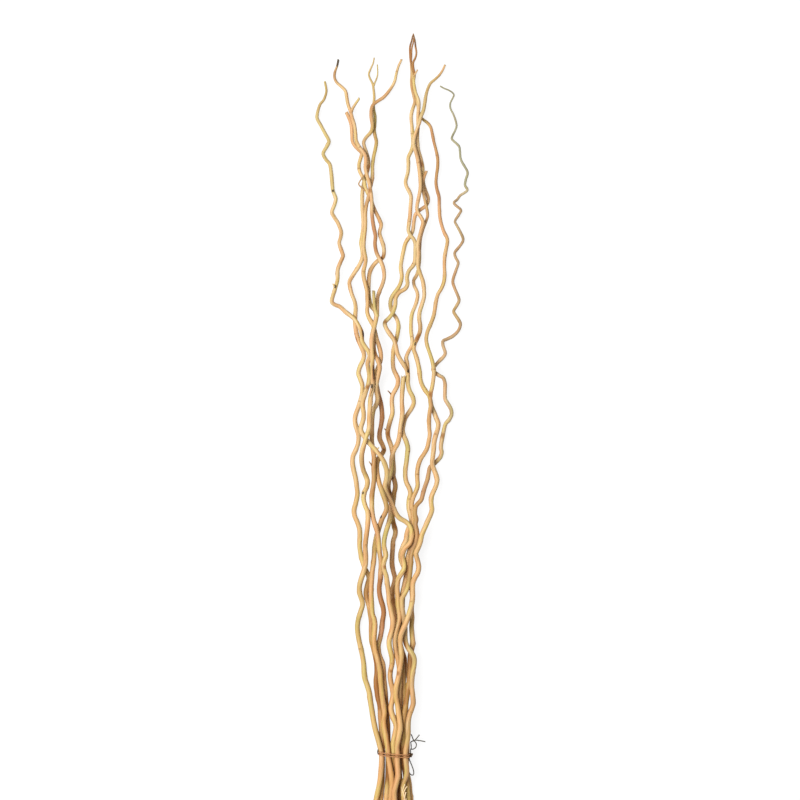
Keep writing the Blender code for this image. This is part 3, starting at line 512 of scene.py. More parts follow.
def twig(stem, end_size, root_size, points, stains_and_shade=(), end="snapped"):
    """A short side shoot: it starts inside its stem, thick at the root, and rises a little to its end."""
    plan = smooth_curve(points, TWIG_STEP) + SHIFT
    from_root = distances(plan[::-1])[::-1]
    heights = stem["line"][nearest(stem, plan[-1]), 2] + TWIG_LIFT * from_root
    share = from_root / from_root[0]
    radii = 0.5 * (root_size + (end_size - root_size) * share)
    radii *= 1 + TWIG_FLARE * np.exp(-from_root / root_size)
    seed = f"{stem['seed']} {points[0]}"
    shoot = rod(np.column_stack([plan, heights]), radii, seed, TWIG_SIDES, (end, "cut"), TWIG_SWELL)
    for values in stains_and_shade:
        stain_and_shade(shoot, *values)
    return shoot


# The wood: shader node groups that every willow finish uses

def group_of(name, numbers, outputs):
    """An empty shader node group with number inputs and number outputs, and its two end nodes."""
    group = bpy.data.node_groups.new(name, "ShaderNodeTree")
    for label, value in numbers.items():
        group.interface.new_socket(label, in_out="INPUT", socket_type="NodeSocketFloat").default_value = value
    for label in outputs:
        group.interface.new_socket(label, in_out="OUTPUT", socket_type="NodeSocketFloat")
    return group, group.nodes.new("NodeGroupInput"), group.nodes.new("NodeGroupOutput")


def join(tree, source, target):
    """Links a socket, or sets a plain value, on a target socket."""
    if hasattr(source, "is_output"):
        tree.links.new(source, target)
    else:
        target.default_value = source


def sums(tree, operation, first, second=0.0, third=0.0, clamp=False):
    """One step of arithmetic on up to three values, which may be sockets or plain numbers."""
    node = tree.nodes.new("ShaderNodeMath")
    node.operation = operation
    node.use_clamp = clamp
    for source, target in zip((first, second, third), node.inputs):
        join(tree, source, target)
    return node.outputs[0]


def span(tree, value, low, high, least=0.0, most=1.0):
    """A value's way from low to high, eased, as a number from least to most."""
    node = tree.nodes.new("ShaderNodeMapRange")
    node.interpolation_type = "SMOOTHSTEP"
    labels = ("Value", "From Min", "From Max", "To Min", "To Max")
    for label, source in zip(labels, (value, low, high, least, most)):
        join(tree, source, node.inputs[label])
    return node.outputs["Result"]


def mark(tree, name):
    """The node that reads one of the values stored on the mesh."""
    node = tree.nodes.new("ShaderNodeAttribute")
    node.attribute_name = name
    return node


def stretched(tree, along):
    """The place on the straight-grown rod, squeezed along its length so that patterns run lengthwise."""
    node = tree.nodes.new("ShaderNodeVectorMath")
    node.operation = "MULTIPLY"
    tree.links.new(mark(tree, "grown").outputs["Vector"], node.inputs[0])
    node.inputs[1].default_value = (1, 1, along)
    return node.outputs[0]


def cloudy(tree, place, scale, detail=2.0, roughness=0.5):
    """An uneven cloudy pattern, from 0 to 1."""
    node = tree.nodes.new("ShaderNodeTexNoise")
    tree.links.new(place, node.inputs["Vector"])
    node.inputs["Detail"].default_value = detail
    node.inputs["Roughness"].default_value = roughness
    join(tree, scale, node.inputs["Scale"])
    return node.outputs["Fac"]


# Long grain: soft streaks, fine fibres, slow patches of tone, of rosy and of green tints, and small flecks
grain, grain_in, grain_out = group_of(
    "long grain", {"Streak scale": 620.0, "Fibre scale": 2400.0},
    ("Streaks", "Fibres", "Patches", "Rosy", "Green", "Flecks"),
)
along_grain = stretched(grain, 0.045)
streaks = cloudy(grain, along_grain, grain_in.outputs["Streak scale"], 3.0, 0.55)
fibres = cloudy(grain, along_grain, grain_in.outputs["Fibre scale"], 4.0, 0.6)
patches = cloudy(grain, stretched(grain, 0.25), 70.0, 2.0, 0.5)
tints = cloudy(grain, stretched(grain, 0.15), 110.0, 1.0, 0.5)
flecks = cloudy(grain, stretched(grain, 0.35), 420.0, 2.0, 0.6)
for label, value in {
    "Streaks": streaks,
    "Fibres": fibres,
    "Patches": span(grain, patches, 0.36, 0.64),
    "Rosy": span(grain, tints, 0.52, 0.66),
    "Green": span(grain, tints, 0.48, 0.34),
    "Flecks": span(grain, flecks, 0.66, 0.76),
}.items():
    join(grain, value, grain_out.inputs[label])

# Skin marks: leaf scars with a darker rim, and scraps of bark with a torn edge
skin, skin_in, skin_out = group_of("willow skin marks", {"Raggedness": 0.22}, ("Scar", "Rim", "Bark"))
ragged = cloudy(skin, stretched(skin, 0.6), 900.0, 3.0, 0.6)
unsteady = sums(skin, "MULTIPLY", sums(skin, "SUBTRACT", ragged, 0.5), skin_in.outputs["Raggedness"])
scar = sums(skin, "ADD", mark(skin, "scar").outputs["Fac"], unsteady)
scar_middle = span(skin, scar, 0.56, 0.74)
scar_whole = span(skin, scar, 0.36, 0.52)
join(skin, scar_middle, skin_out.inputs["Scar"])
join(skin, sums(skin, "SUBTRACT", scar_whole, scar_middle, clamp=True), skin_out.inputs["Rim"])
torn = sums(skin, "MULTIPLY_ADD", sums(skin, "SUBTRACT", ragged, 0.5), 1.4, mark(skin, "bark").outputs["Fac"])
join(skin, span(skin, torn, 0.42, 0.62), skin_out.inputs["Bark"])

# End grain: growth rings round a brown pith
core, core_in, core_out = group_of("willow end grain", {"Ring width": 0.0011}, ("Heart", "Rings", "Pith"))
across_grain = stretched(core, 0)
from_pith = core.nodes.new("ShaderNodeVectorMath")
from_pith.operation = "LENGTH"
core.links.new(across_grain, from_pith.inputs[0])
wander = sums(core, "MULTIPLY", cloudy(core, across_grain, 500.0), 0.0007)
uneven = sums(core, "ADD", from_pith.outputs["Value"], wander)
phase = sums(core, "DIVIDE", uneven, core_in.outputs["Ring width"])
join(core, mark(core, "heart").outputs["Fac"], core_out.inputs["Heart"])
join(core, sums(core, "PINGPONG", phase, 0.5), core_out.inputs["Rings"])
join(core, span(core, from_pith.outputs["Value"], 0.0009, 0.0005), core_out.inputs["Pith"])


def over(tree, under, colour, amount):
    """A colour laid over another by an amount from 0 to 1."""
    node = tree.nodes.new("ShaderNodeMix")
    node.data_type = "RGBA"
    join(tree, amount, node.inputs["Factor"])
    join(tree, (*under, 1) if isinstance(under, tuple) else under, node.inputs["A"])
    join(tree, (*colour, 1) if isinstance(colour, tuple) else colour, node.inputs["B"])
    return node.outputs["Result"]


def emboss(tree, shader, height, strength, distance):
    """Gives a shader a fine relief."""
    bump = tree.nodes.new("ShaderNodeBump")
    set_values(bump, {"Strength": strength, "Distance": distance})
    join(tree, height, bump.inputs["Height"])
    join(tree, bump.outputs["Normal"], shader.inputs["Normal"])


GREEN_SKIN = (0.36, 0.30, 0.085)
ROSY_SKIN = (0.47, 0.215, 0.105)
# Brown under-bark, also the colour of the painted shade on flanks, in gaps and on under-lying stems
BROWN_SKIN_AND_SHADE = (0.24, 0.088, 0.014)
SCAR_BROWN = (0.17, 0.075, 0.03)
RIM_BROWN = (0.27, 0.13, 0.05)
BARK_DARK = (0.035, 0.024, 0.016)
PALE_BARK = (0.80, 0.62, 0.38)
END_PALE = (0.62, 0.44, 0.24)
END_DARK = (0.46, 0.27, 0.12)
PITH_BROWN = (0.16, 0.075, 0.035)
SMOOTH_WOOD = 0.44
DRY_WOOD = 0.66
ROSY_WOOD = (0.52, 0.27, 0.115)
GREEN_WOOD = (0.47, 0.38, 0.10)
AGE_SHARE = 0.75
PATCHINESS = 0.35
TINT = 0.6
DUSK_SHARE = 0.65
RIM_SHARE = 0.55
SCAR_SHARE = 0.75
BARK_SHARE = 0.93
WOOD_SHEEN = 0.28
WOOD_BUMP = 0.55
WOOD_RELIEF = 0.00022


def willow_wood(name, young, aged, dusk, brownness, green=GREEN_SKIN):
    """A peeled willow finish: paler young wood towards the tip and golden old wood towards the foot, in
    uneven patches, a darker tone in its streaks, and the skin's marks, whose brown lays both under-bark and
    painted shade."""
    material, tree, shader = new_material(name)
    placed = {}
    for group in (grain, skin, core):
        node = tree.nodes.new("ShaderNodeGroup")
        node.node_tree = group
        placed.update({output.name: output for output in node.outputs})
    patches, streaks, fibres = placed["Patches"], placed["Streaks"], placed["Fibres"]
    age = sums(tree, "MULTIPLY", mark(tree, "aged").outputs["Fac"], AGE_SHARE)
    uneven = span(tree, streaks, 0.2, 0.6, 0.7, 1.0)
    # The brown mark lays real under-bark and painted shade alike
    skins_and_shade = [("green", green), ("rosy", ROSY_SKIN), ("brown", BROWN_SKIN_AND_SHADE), ("pale", PALE_BARK)]
    colour = over(tree, young, aged, sums(tree, "MULTIPLY_ADD", patches, PATCHINESS, age))
    for laid, place, share in [
        (ROSY_WOOD, placed["Rosy"], TINT),
        (GREEN_WOOD, placed["Green"], TINT),
        (dusk, span(tree, streaks, 0.40, 0.78), DUSK_SHARE),
        (BROWN_SKIN_AND_SHADE, placed["Flecks"], brownness),
        *((mark_colour, mark(tree, kind).outputs["Fac"], uneven) for kind, mark_colour in skins_and_shade),
        (RIM_BROWN, placed["Rim"], RIM_SHARE),
        (SCAR_BROWN, placed["Scar"], SCAR_SHARE),
        (BARK_DARK, placed["Bark"], BARK_SHARE),
    ]:
        colour = over(tree, colour, laid, sums(tree, "MULTIPLY", place, share))
    end_wood = over(tree, END_PALE, END_DARK, placed["Rings"])
    end_wood = over(tree, end_wood, PITH_BROWN, placed["Pith"])
    colour = over(tree, colour, end_wood, placed["Heart"])
    join(tree, colour, shader.inputs["Base Color"])
    rough = span(tree, fibres, 0.3, 0.7, SMOOTH_WOOD, DRY_WOOD)
    rough = sums(tree, "MULTIPLY_ADD", placed["Bark"], 0.3, rough, clamp=True)
    join(tree, rough, shader.inputs["Roughness"])
    relief = sums(tree, "MULTIPLY_ADD", fibres, 0.35, sums(tree, "MULTIPLY", streaks, 0.5))
    relief = sums(tree, "SUBTRACT", relief, sums(tree, "MULTIPLY", placed["Scar"], 0.8))
    relief = sums(tree, "MULTIPLY_ADD", placed["Bark"], 1.2, relief)
    emboss(tree, shader, relief, WOOD_BUMP, WOOD_RELIEF)
    shader.inputs["Specular IOR Level"].default_value = WOOD_SHEEN
    return material


PEELED = willow_wood(
    "peeled willow", (0.545, 0.405, 0.21), (0.56, 0.315, 0.115), (0.31, 0.125, 0.018), 0.35,
)

stem_01 = stem_rod(
    "stem_01", STEM_01_ROUTE,
    stains_and_shade=[
        ("green", 1180, 1400, 0.50), ("brown", 1330, 1400, 0.30), ("brown", 985, 1130, 0.18),
        ("brown", 790, 890, 0.16), ("green", 655, 695, 0.40), ("brown", 0, 470, 0.12),
    ],
    spots=[
        ("bark", -114, 1186, 4, 3.5), ("bark", -110, 1008, 5, 4), ("brown", -51, 823, 7, 5),
        ("bark", -58, 922, 9, 3), ("brown", -58, 922, 16, 5),
    ],
)
stub = twig(stem_01, 2.6, 3.4, [(-113, 1013), (-110, 1005)])
nub = twig(stem_01, 2.0, 3.0, [(-29.5, 713), (-32, 710), (-35, 707)])
piece_of("stem_01", [stem_01, stub, nub], PEELED)


# Stem 02, the undermost on the left: a peeled rod that carries the others and leans in at its snapped
# tip. It lies in shade for most of its way, and is brownest low down, where its brown is painted shade.

STEM_02_ROUTE = [
    (12, 1427), (7, 1416), (3, 1402), (0, 1388), (-7, 1375), (-19, 1360), (-30, 1352),
    (-39, 1345), (-43, 1335), (-43, 1320), (-41, 1305), (-44, 1294), (-52, 1285), (-57, 1276),
    (-56, 1267), (-52, 1256), (-49, 1245), (-48, 1233), (-51, 1220), (-55, 1209), (-58, 1196),
    (-60, 1180), (-60, 1160), (-59, 1140), (-58, 1122), (-60, 1105), (-62, 1090), (-60, 1075),
    (-60, 1062), (-66, 1048), (-75, 1034), (-83, 1020), (-83, 1010), (-79, 995), (-74, 982),
    (-72, 970), (-73, 955), (-73, 940), (-71, 925), (-67, 910), (-61, 897), (-57, 886),
    (-58, 875), (-64, 862), (-67, 850), (-64, 840), (-60, 828), (-60, 815), (-63, 800),
    (-68, 785), (-73, 770), (-73, 757), (-69, 743), (-67, 733), (-68, 720), (-72, 708),
    (-77, 697), (-78, 685), (-76, 672), (-72, 655), (-70, 640), (-69, 626), (-72, 610),
    (-75, 598), (-74, 587), (-69, 575), (-65, 562), (-64.5, 548), (-65, 535), (-64, 523),
    (-61, 508), (-56, 492), (-50, 480), (-47.5, 471), (-50, 460), (-53, 446), (-52, 435),
    (-48, 422), (-45.5, 408), (-43.5, 392), (-43.5, 375), (-43, 358), (-40, 345), (-34, 320),
    (-33, 300), (-34.5, 283), (-33.5, 268), (-31.5, 252), (-28, 238), (-26.5, 222),
    (-25, 200), (-23.5, 175), (-23, 147), (-23, 120), (-24, 95), (-26, 70), (-29, 45),
    (-31, 18), (-33, 2),
]

stem_02 = stem_rod(
    "stem_02", STEM_02_ROUTE,
    stains_and_shade=[
        # The brown lengths low down, from 140 to 475, are painted shade where it lies under the others
        ("brown", 1180, 1375, 0.30), ("rosy", 880, 960, 0.40), ("brown", 425, 475, 0.75),
        ("brown", 140, 420, 0.55), ("brown", 225, 335, 1.0), ("green", 500, 640, 0.15),
    ],
    spots=[
        ("brown", -50, 1228, 12, 5), ("brown", -72, 913, 8, 4),
    ],
    top="snapped",
)
piece_of("stem_02", [stem_02], PEELED)


# Stem 03, the front one on the left: a peeled rod whose tip keeps its dark bark. It has a side twig near
# the top, a broken stub, and a reddish spur with a black bud. Its lower half is yellow-green.

STEM_03_ROUTE = [
    (-104, 1426), (-106, 1416), (-110, 1405), (-111, 1395), (-107, 1386), (-98, 1378),
    (-91, 1370), (-88.5, 1358), (-86, 1345), (-81, 1330), (-78, 1318), (-74, 1305),
    (-72, 1290), (-71, 1278), (-66, 1267), (-59, 1258), (-54, 1249), (-53, 1238), (-54, 1227),
    (-51, 1213), (-47, 1200), (-45, 1188), (-43, 1175), (-42, 1160), (-42, 1147),
    (-41, 1133), (-38.5, 1117), (-35.5, 1102), (-36.5, 1088), (-34, 1073), (-29, 1062),
    (-24, 1052), (-20.5, 1040), (-19.5, 1026), (-23, 1012), (-28, 1000), (-31.5, 988),
    (-32, 972), (-33, 955), (-36, 940), (-40, 925), (-42.5, 908), (-42, 893), (-41, 878),
    (-41, 862), (-40, 846), (-40, 832), (-41, 820), (-44, 806), (-45, 793), (-46, 778),
    (-46.5, 762), (-47, 748), (-51, 736), (-55, 722), (-58.5, 710), (-60.5, 698), (-60, 683),
    (-57, 670), (-52.5, 659), (-50, 650), (-51.5, 640), (-56, 630), (-57, 618), (-54, 606),
    (-50, 596), (-49, 582), (-50, 567), (-52, 552), (-54, 536), (-54, 524), (-53, 510),
    (-54, 497), (-58, 482), (-62, 470), (-65, 457), (-64.5, 444), (-60.5, 431), (-59.5, 422),
    (-63, 410), (-67, 397), (-69, 383), (-68, 368), (-65, 352), (-61, 335), (-57.5, 315),
    (-56.5, 298), (-55, 286), (-51, 274), (-47, 260), (-45, 245), (-42.5, 230), (-39.5, 212),
    (-36, 195), (-32, 180), (-28, 165), (-24.5, 150), (-24, 138), (-25, 120), (-27, 100),
    (-30, 84), (-33, 70), (-37, 45), (-40, 20), (-43, -4),
]

stem_03 = stem_rod(
    "stem_03", STEM_03_ROUTE,
    stains_and_shade=[
        ("bark", 1414, 1440, 1.0), ("brown", 1390, 1416, 0.65), ("rosy", 1145, 1330, 0.22),
        ("rosy", 1068, 1145, 0.75), ("brown", 1068, 1145, 0.45), ("rosy", 900, 1040, 0.30),
        ("green", 160, 470, 0.42), ("green", 610, 700, 0.22),
    ],
    spots=[
        ("bark", -45.5, 809, 7, 4), ("bark", -58.5, 628, 4, 3), ("bark", -38.5, 850, 24, 2.5),
        ("brown", -38.5, 850, 30, 5), ("brown", -46, 1186, 8, 5),
    ],
    top="snapped",
)
side_twig = twig(
    stem_03, 4.0, 5.2, [(-66, 1354), (-71, 1347), (-77, 1338), (-81, 1329)],
    [("brown", 1325, 1352, 0.25)],
)
broken_stub = twig(
    stem_03, 5.4, 6.2, [(-38.5, 998), (-38, 985), (-37, 970), (-33, 955)],
    [("green", 965, 1010, 0.60), ("bark", 990, 1010, 0.45)],
)
spur = twig(
    stem_03, 2.4, 4.2, [(-42, 829), (-42.5, 821), (-45, 811), (-45, 799)],
    [("rosy", 795, 822, 0.60), ("bark", 822, 835, 0.95, 3)], "point",
)
piece_of("stem_03", [stem_03, side_twig, broken_stub, spur], PEELED)


# Stem 04, left of the middle: a peeled rod snapped off at the top, with a fine twig bent back over it and
# a shorter one lower down. Several lengths of it kept their red-brown under-bark; its dark brown length low
# down is painted shade where it lies under the others.

STEM_04_ROUTE = [
    (-88, 1328), (-84, 1319), (-80, 1306), (-79, 1290), (-78, 1277), (-73, 1268), (-66, 1261),
    (-61, 1255), (-63, 1246), (-66, 1235), (-65, 1223), (-60, 1212), (-56, 1203), (-54, 1192),
    (-49, 1180), (-44, 1170), (-40, 1158), (-35, 1146), (-28, 1132), (-25, 1122), (-28, 1108),
    (-24, 1094), (-20.5, 1082), (-20, 1070), (-23, 1062), (-32, 1057), (-42, 1045),
    (-47, 1031), (-48, 1015), (-48, 1000), (-46.5, 986), (-44, 974), (-37, 965), (-34, 955),
    (-36, 943), (-38, 928), (-38.5, 912), (-38.5, 897), (-36, 884), (-30, 870), (-27.5, 860),
    (-30, 847), (-33, 833), (-34, 818), (-31.5, 803), (-34, 792), (-39, 782), (-41.5, 768),
    (-42, 752), (-42, 738), (-42, 724), (-40, 710), (-38, 695), (-38.5, 678), (-38, 660),
    (-39, 645), (-41.5, 628), (-42, 612), (-41.5, 597), (-39, 581), (-34.5, 567), (-31, 553),
    (-29.5, 538), (-28, 522), (-25.5, 507), (-25, 495), (-26, 482), (-26.5, 470),
    (-28.5, 456), (-28, 443), (-25, 430), (-21.5, 418), (-20.5, 406), (-22.5, 393),
    (-24, 378), (-27, 362), (-30.5, 348), (-30, 336), (-26.5, 325), (-22, 314), (-20.5, 300),
    (-20, 285), (-18, 265), (-16, 235), (-13.5, 205), (-12.5, 175), (-12.5, 147), (-12.5, 120),
    (-13.5, 95), (-15, 70), (-17, 45), (-19, 15), (-20, -12),
]

stem_04 = stem_rod(
    "stem_04", STEM_04_ROUTE,
    stains_and_shade=[
        ("rosy", 1240, 1330, 0.25), ("brown", 385, 475, 0.75), ("rosy", 360, 480, 0.85),
        # The dark brown from 95 to 260 is painted shade, in a deep gap under the others
        ("brown", 618, 700, 0.60), ("brown", 715, 745, 0.55), ("brown", 95, 260, 0.95),
        ("rosy", 540, 600, 0.25),
    ],
    spots=[
        ("bark", -23, 1062, 4, 2.5), ("brown", -24, 1064, 16, 7), ("brown", -35, 884, 10, 4),
    ],
    tip=None, top="snapped",
)
fine_twig = twig(
    stem_04, 1.8, 3.0, [(-46.5, 687), (-43, 682), (-39, 673)],
    [("brown", 665, 690, 1.0), ("bark", 665, 690, 0.45)],
)
bent_twig = twig(
    stem_04, 1.8, 3.0, [(-53, 1218), (-60, 1209), (-66, 1199.5), (-65, 1195), (-58, 1189), (-50, 1182)],
    [("brown", 1175, 1225, 0.60)], "point",
)
piece_of("stem_04", [stem_04, fine_twig, bent_twig], PEELED)


# Stem 05, left of the middle: a peeled rod that forks into two fine twigs at its tip. Its upper half kept
# a thin brown under-bark, and its lower half is as pale as the others.

STEM_05_ROUTE = [
    (-38, 1431), (-40, 1421), (-45, 1410), (-48, 1402), (-46, 1394), (-41, 1384), (-39, 1372),
    (-38, 1358), (-39, 1346), (-38.5, 1335), (-36.5, 1323), (-37, 1308), (-38, 1297),
    (-36, 1286), (-34, 1276), (-36, 1262), (-39, 1248), (-41, 1232), (-41, 1216),
    (-42.5, 1202), (-45.5, 1188), (-48, 1174), (-52, 1160), (-54, 1145), (-54, 1128),
    (-55, 1112), (-56.5, 1096), (-57, 1082), (-55.5, 1070), (-53.5, 1060), (-54.5, 1050),
    (-57.5, 1038), (-57, 1026), (-54, 1013), (-51, 1000), (-50.5, 988), (-50, 975),
    (-50.5, 962), (-47, 951), (-41, 941), (-37, 928), (-33, 912), (-28.5, 898), (-25.5, 884),
    (-26, 873), (-30, 862), (-34.5, 850), (-35, 838), (-32.5, 823), (-29.5, 808), (-26, 795),
    (-24, 782), (-23.5, 768), (-25.5, 753), (-28, 740), (-27.5, 728), (-22.5, 717),
    (-20, 708), (-25, 699), (-31, 690), (-33, 678), (-31.5, 662), (-28.5, 648), (-25, 637),
    (-20.5, 624), (-16.5, 612), (-15, 602), (-17.5, 593), (-23, 583), (-27, 571), (-31, 558),
    (-35, 543), (-37, 527), (-38.5, 505), (-41, 487), (-42.5, 470), (-43.5, 450), (-43, 430),
    (-41.5, 408), (-38, 397), (-36.5, 385), (-37.5, 370), (-38, 355), (-36, 340),
    (-32.5, 328), (-29.5, 315), (-27, 300), (-25.8, 283), (-24, 262), (-21.5, 243),
    (-19, 225), (-20.5, 209), (-19.5, 197), (-17, 185), (-14.5, 171), (-12.5, 158),
    (-12, 148), (-10.5, 137), (-8, 124), (-6, 111), (-5, 98), (-5.5, 84), (-7, 70), (-9, 45),
    (-12, 20), (-14, -2),
]

BROWN = willow_wood("brown willow", (0.50, 0.335, 0.155), (0.51, 0.27, 0.09), (0.27, 0.10, 0.016), 0.55)

stem_05 = stem_rod(
    "stem_05", STEM_05_ROUTE,
    stains_and_shade=[
        ("green", 1260, 1440, 0.45), ("brown", 1270, 1310, 0.40), ("brown", 1150, 1190, 0.30),
        ("brown", 735, 810, 0.60), ("rosy", 735, 810, 0.75), ("brown", 690, 740, 0.25),
        ("brown", 560, 625, 0.35), ("green", 600, 640, 0.50),
    ],
    spots=[
        ("bark", -46.5, 988, 10, 3), ("bark", -25, 587, 5, 4), ("bark", -21, 706, 3.5, 2.5),
        ("brown", -28, 780, 26, 4), ("bark", -30, 782, 12, 1.5), ("brown", -21, 706, 9, 5),
    ],
    tip=FINE_TIP_DIAMETER,
)
tip_twig = twig(
    stem_05, 2.0, 3.0, [(-32, 1418), (-31.5, 1404), (-33, 1395), (-39, 1381)],
    [("green", 1370, 1430, 0.55)], "point",
)
piece_of("stem_05", [stem_05, tip_twig], BROWN)


# Stem 06, the short one in the middle: a peeled rod that snapped a little over half way up, so that it is
# still stout at its torn end.

STEM_06_ROUTE = [
    (16, 841), (15, 830), (14, 818), (13, 800), (13.5, 788), (14, 778), (13, 766), (11, 755),
    (10, 745), (8.5, 733), (5, 720), (0, 711), (-4, 700), (-6, 688), (-6, 675), (-8, 662),
    (-11, 650), (-11.5, 638), (-9, 626), (-7, 612), (-7.5, 598), (-8.5, 585), (-12, 571),
    (-16, 558), (-19, 545), (-19.5, 532), (-17.5, 522), (-16.5, 514), (-19.5, 504),
    (-20.5, 496), (-18.5, 486), (-15.5, 477), (-14, 466), (-12.5, 455), (-11, 441),
    (-10.5, 430), (-8, 418), (-5.5, 406), (-3.5, 395), (-4.5, 382), (-7.5, 370), (-10, 359),
    (-10, 349), (-7.5, 338), (-5, 326), (-5, 315), (-7.5, 303), (-8.5, 292), (-7, 280),
    (-4.5, 270), (-3, 258), (-5, 246), (-7, 235), (-5.5, 225), (-2, 215), (1.5, 206),
    (2.5, 198), (0.5, 187), (-1.5, 176), (-3, 165), (-2.5, 150), (-2, 125), (-1, 100),
    (0, 75), (0, 50), (-2, 25), (-4, 8),
]

stem_06 = stem_rod(
    "stem_06", STEM_06_ROUTE,
    stains_and_shade=[
        ("green", 535, 560, 0.65), ("brown", 670, 700, 0.25), ("green", 815, 850, 0.35),
        # The brown from 95 to 146, below the twine, is painted shade in a gap between stems
        ("rosy", 380, 460, 0.18), ("brown", 95, 146, 0.80),
    ],
    spots=[
        ("bark", -7, 630, 6, 2.2), ("brown", -8, 628, 20, 6), ("brown", -18, 494, 6, 5),
        ("brown", -7, 303, 5, 4),
    ],
    tip=None, top="snapped",
)
piece_of("stem_06", [stem_06], PEELED)


# Stem 07, in the middle: a peeled rod, one of the three whose tips meet at the top. It swings widely, and
# has two fine twigs at half height and a stub near its tip.

STEM_07_ROUTE = [
    (34, 1475), (37, 1463), (38.5, 1450), (40, 1440), (38, 1430), (34, 1422), (34, 1412),
    (36, 1400), (35, 1385), (38, 1367), (43.5, 1352), (44, 1340), (42.5, 1322), (43, 1305),
    (42, 1290), (42, 1275), (44, 1260), (48, 1246), (51, 1232), (52, 1216), (53, 1200),
    (56, 1188), (61, 1175), (61, 1165), (56, 1157), (46, 1150), (38, 1141), (35, 1127),
    (33, 1112), (27, 1101), (20, 1090), (16, 1075), (13, 1060), (11, 1045), (13, 1029),
    (11, 1017), (6, 1006), (-1, 997), (-7, 986), (-8, 973), (-4, 961), (3, 951), (6.5, 940),
    (6, 927), (3, 913), (-1, 899), (-3, 885), (-3.5, 870), (-2, 857), (3, 846), (6, 838),
    (5, 827), (0, 817), (-4, 809), (-5.5, 798), (-4.5, 785), (-4.5, 775), (-8, 763),
    (-11, 752), (-13, 741), (-12, 731), (-9, 722), (-6, 713), (-4, 702), (-3, 688),
    (-2, 672), (-3, 660), (0, 649), (1, 639), (-1.5, 627), (-3, 612), (-4, 598), (-4.5, 584),
    (-2, 571), (1, 560), (0.5, 551), (-3, 540), (-4, 525), (-5, 510), (-5, 497), (-3, 485),
    (0, 473), (-1, 463), (-4, 452), (-4.5, 440), (-3, 428), (0, 416), (2.5, 404), (4, 390),
    (6, 375), (9, 355), (13, 338), (17, 325), (18.5, 312), (18, 297), (16.5, 284),
    (13.5, 270), (13, 258), (16, 246), (17, 235), (14.5, 210), (11.5, 185), (9.5, 165),
    (8.5, 147), (8.5, 120), (9, 95), (9.5, 70), (11, 45), (14, 20), (16, 10),
]

stem_07 = stem_rod(
    "stem_07", STEM_07_ROUTE,
    stains_and_shade=[
        ("brown", 1395, 1480, 0.95), ("bark", 1445, 1480, 0.50), ("rosy", 1080, 1200, 0.20),
        ("green", 970, 1000, 0.50), ("brown", 725, 760, 0.70), ("brown", 620, 665, 0.75),
        # The brown lengths from the foot up to 500 are painted shade, where it lies under the others
        ("brown", 500, 590, 0.35), ("brown", -20, 500, 0.60), ("brown", 380, 440, 0.85),
        ("brown", 240, 345, 0.80), ("rosy", 830, 900, 0.25),
    ],
    spots=[
        ("bark", -4, 657, 3, 2.5), ("brown", 0, 568, 16, 7), ("brown", -12, 740, 12, 6),
        ("brown", 50, 1236, 9, 4),
    ],
    tip=FINE_TIP_DIAMETER,
)
dark_brown = [("brown", 730, 830, 1.0), ("bark", 730, 830, 0.45)]
upper_twig = twig(stem_07, 1.8, 3.0, [(-12.5, 817), (-8.5, 813), (-4.5, 806)], dark_brown)
lower_twig = twig(stem_07, 1.8, 3.0, [(-18.5, 747), (-15, 743), (-12, 736)], dark_brown)
top_stub = twig(stem_07, 2.2, 3.6, [(41.5, 1407), (39, 1403), (35.5, 1397)])
piece_of("stem_07", [stem_07, upper_twig, lower_twig, top_stub], PEELED)


# Stem 08, right of the middle: a peeled rod with a long branch, grown from its side at little over half
# height and snapped off at the top. A black knot marks the fork.

STEM_08_ROUTE = [
    (33, 1473), (31, 1463), (28, 1452), (28, 1438), (29, 1427), (31, 1414), (31, 1400),
    (30.5, 1388), (32, 1374), (35, 1361), (37, 1350), (32.5, 1336), (30, 1323), (31.5, 1305),
    (33, 1288), (33.5, 1272), (31, 1261), (25, 1248), (25, 1235), (24, 1220), (20, 1204),
    (21.5, 1194), (27, 1184), (30, 1174), (29, 1158), (28, 1140), (26, 1125), (25, 1113),
    (28.5, 1104), (35, 1096), (38, 1086), (38, 1070), (37, 1055), (33, 1047), (26, 1038),
    (22.5, 1026), (23.5, 1014), (19, 1005), (8, 998), (2, 988), (1, 976), (-3, 962),
    (-10, 952), (-18, 943), (-16.5, 934), (-10, 923), (-2, 912), (2, 900), (4.5, 887),
    (9.5, 876), (16.5, 865), (22, 856), (24, 845), (24, 832), (27, 818), (33, 806),
    (35, 795), (31, 785), (25, 776), (19, 766), (16, 755), (14.5, 745), (16.5, 735),
    (21, 724), (24, 712), (23, 700), (21.5, 686), (19.5, 672), (19.5, 658), (22, 647),
    (27, 637), (29, 628), (26.5, 615), (26, 602), (29, 588), (31, 575), (26, 564), (22, 552),
    (20.5, 541), (15, 529), (11, 517), (12, 505), (16, 494), (20.5, 484), (20.5, 472),
    (18, 460), (15, 447), (14, 433), (14, 418), (13, 404), (12, 390), (9, 376), (10, 350),
    (12, 320), (15, 290), (18, 260), (20.5, 230), (22, 200), (23, 175), (22.6, 147),
    (21.3, 130), (21.6, 118), (24.3, 104), (26.6, 90), (28.5, 70), (32, 45), (37, 20), (40, 0),
]
BRANCH_ROUTE = [
    (58, 1221), (54, 1210), (51, 1195), (53, 1180), (56, 1165), (59, 1152), (60.5, 1140),
    (57, 1128), (52, 1115), (48, 1100), (46, 1082), (46, 1062), (44, 1044), (40, 1030),
    (35, 1021), (36, 1011), (41, 1000), (42, 990), (38, 975), (32, 960), (30, 945), (30, 927),
    (32, 912), (31, 900), (25, 889), (21, 877), (23, 867), (24, 848),
]
BRANCH = [(840, 7.0), (1000, 6.2), (1220, 4.8)]
FORK_FLARE = 0.2
FORK_LENGTH = 8

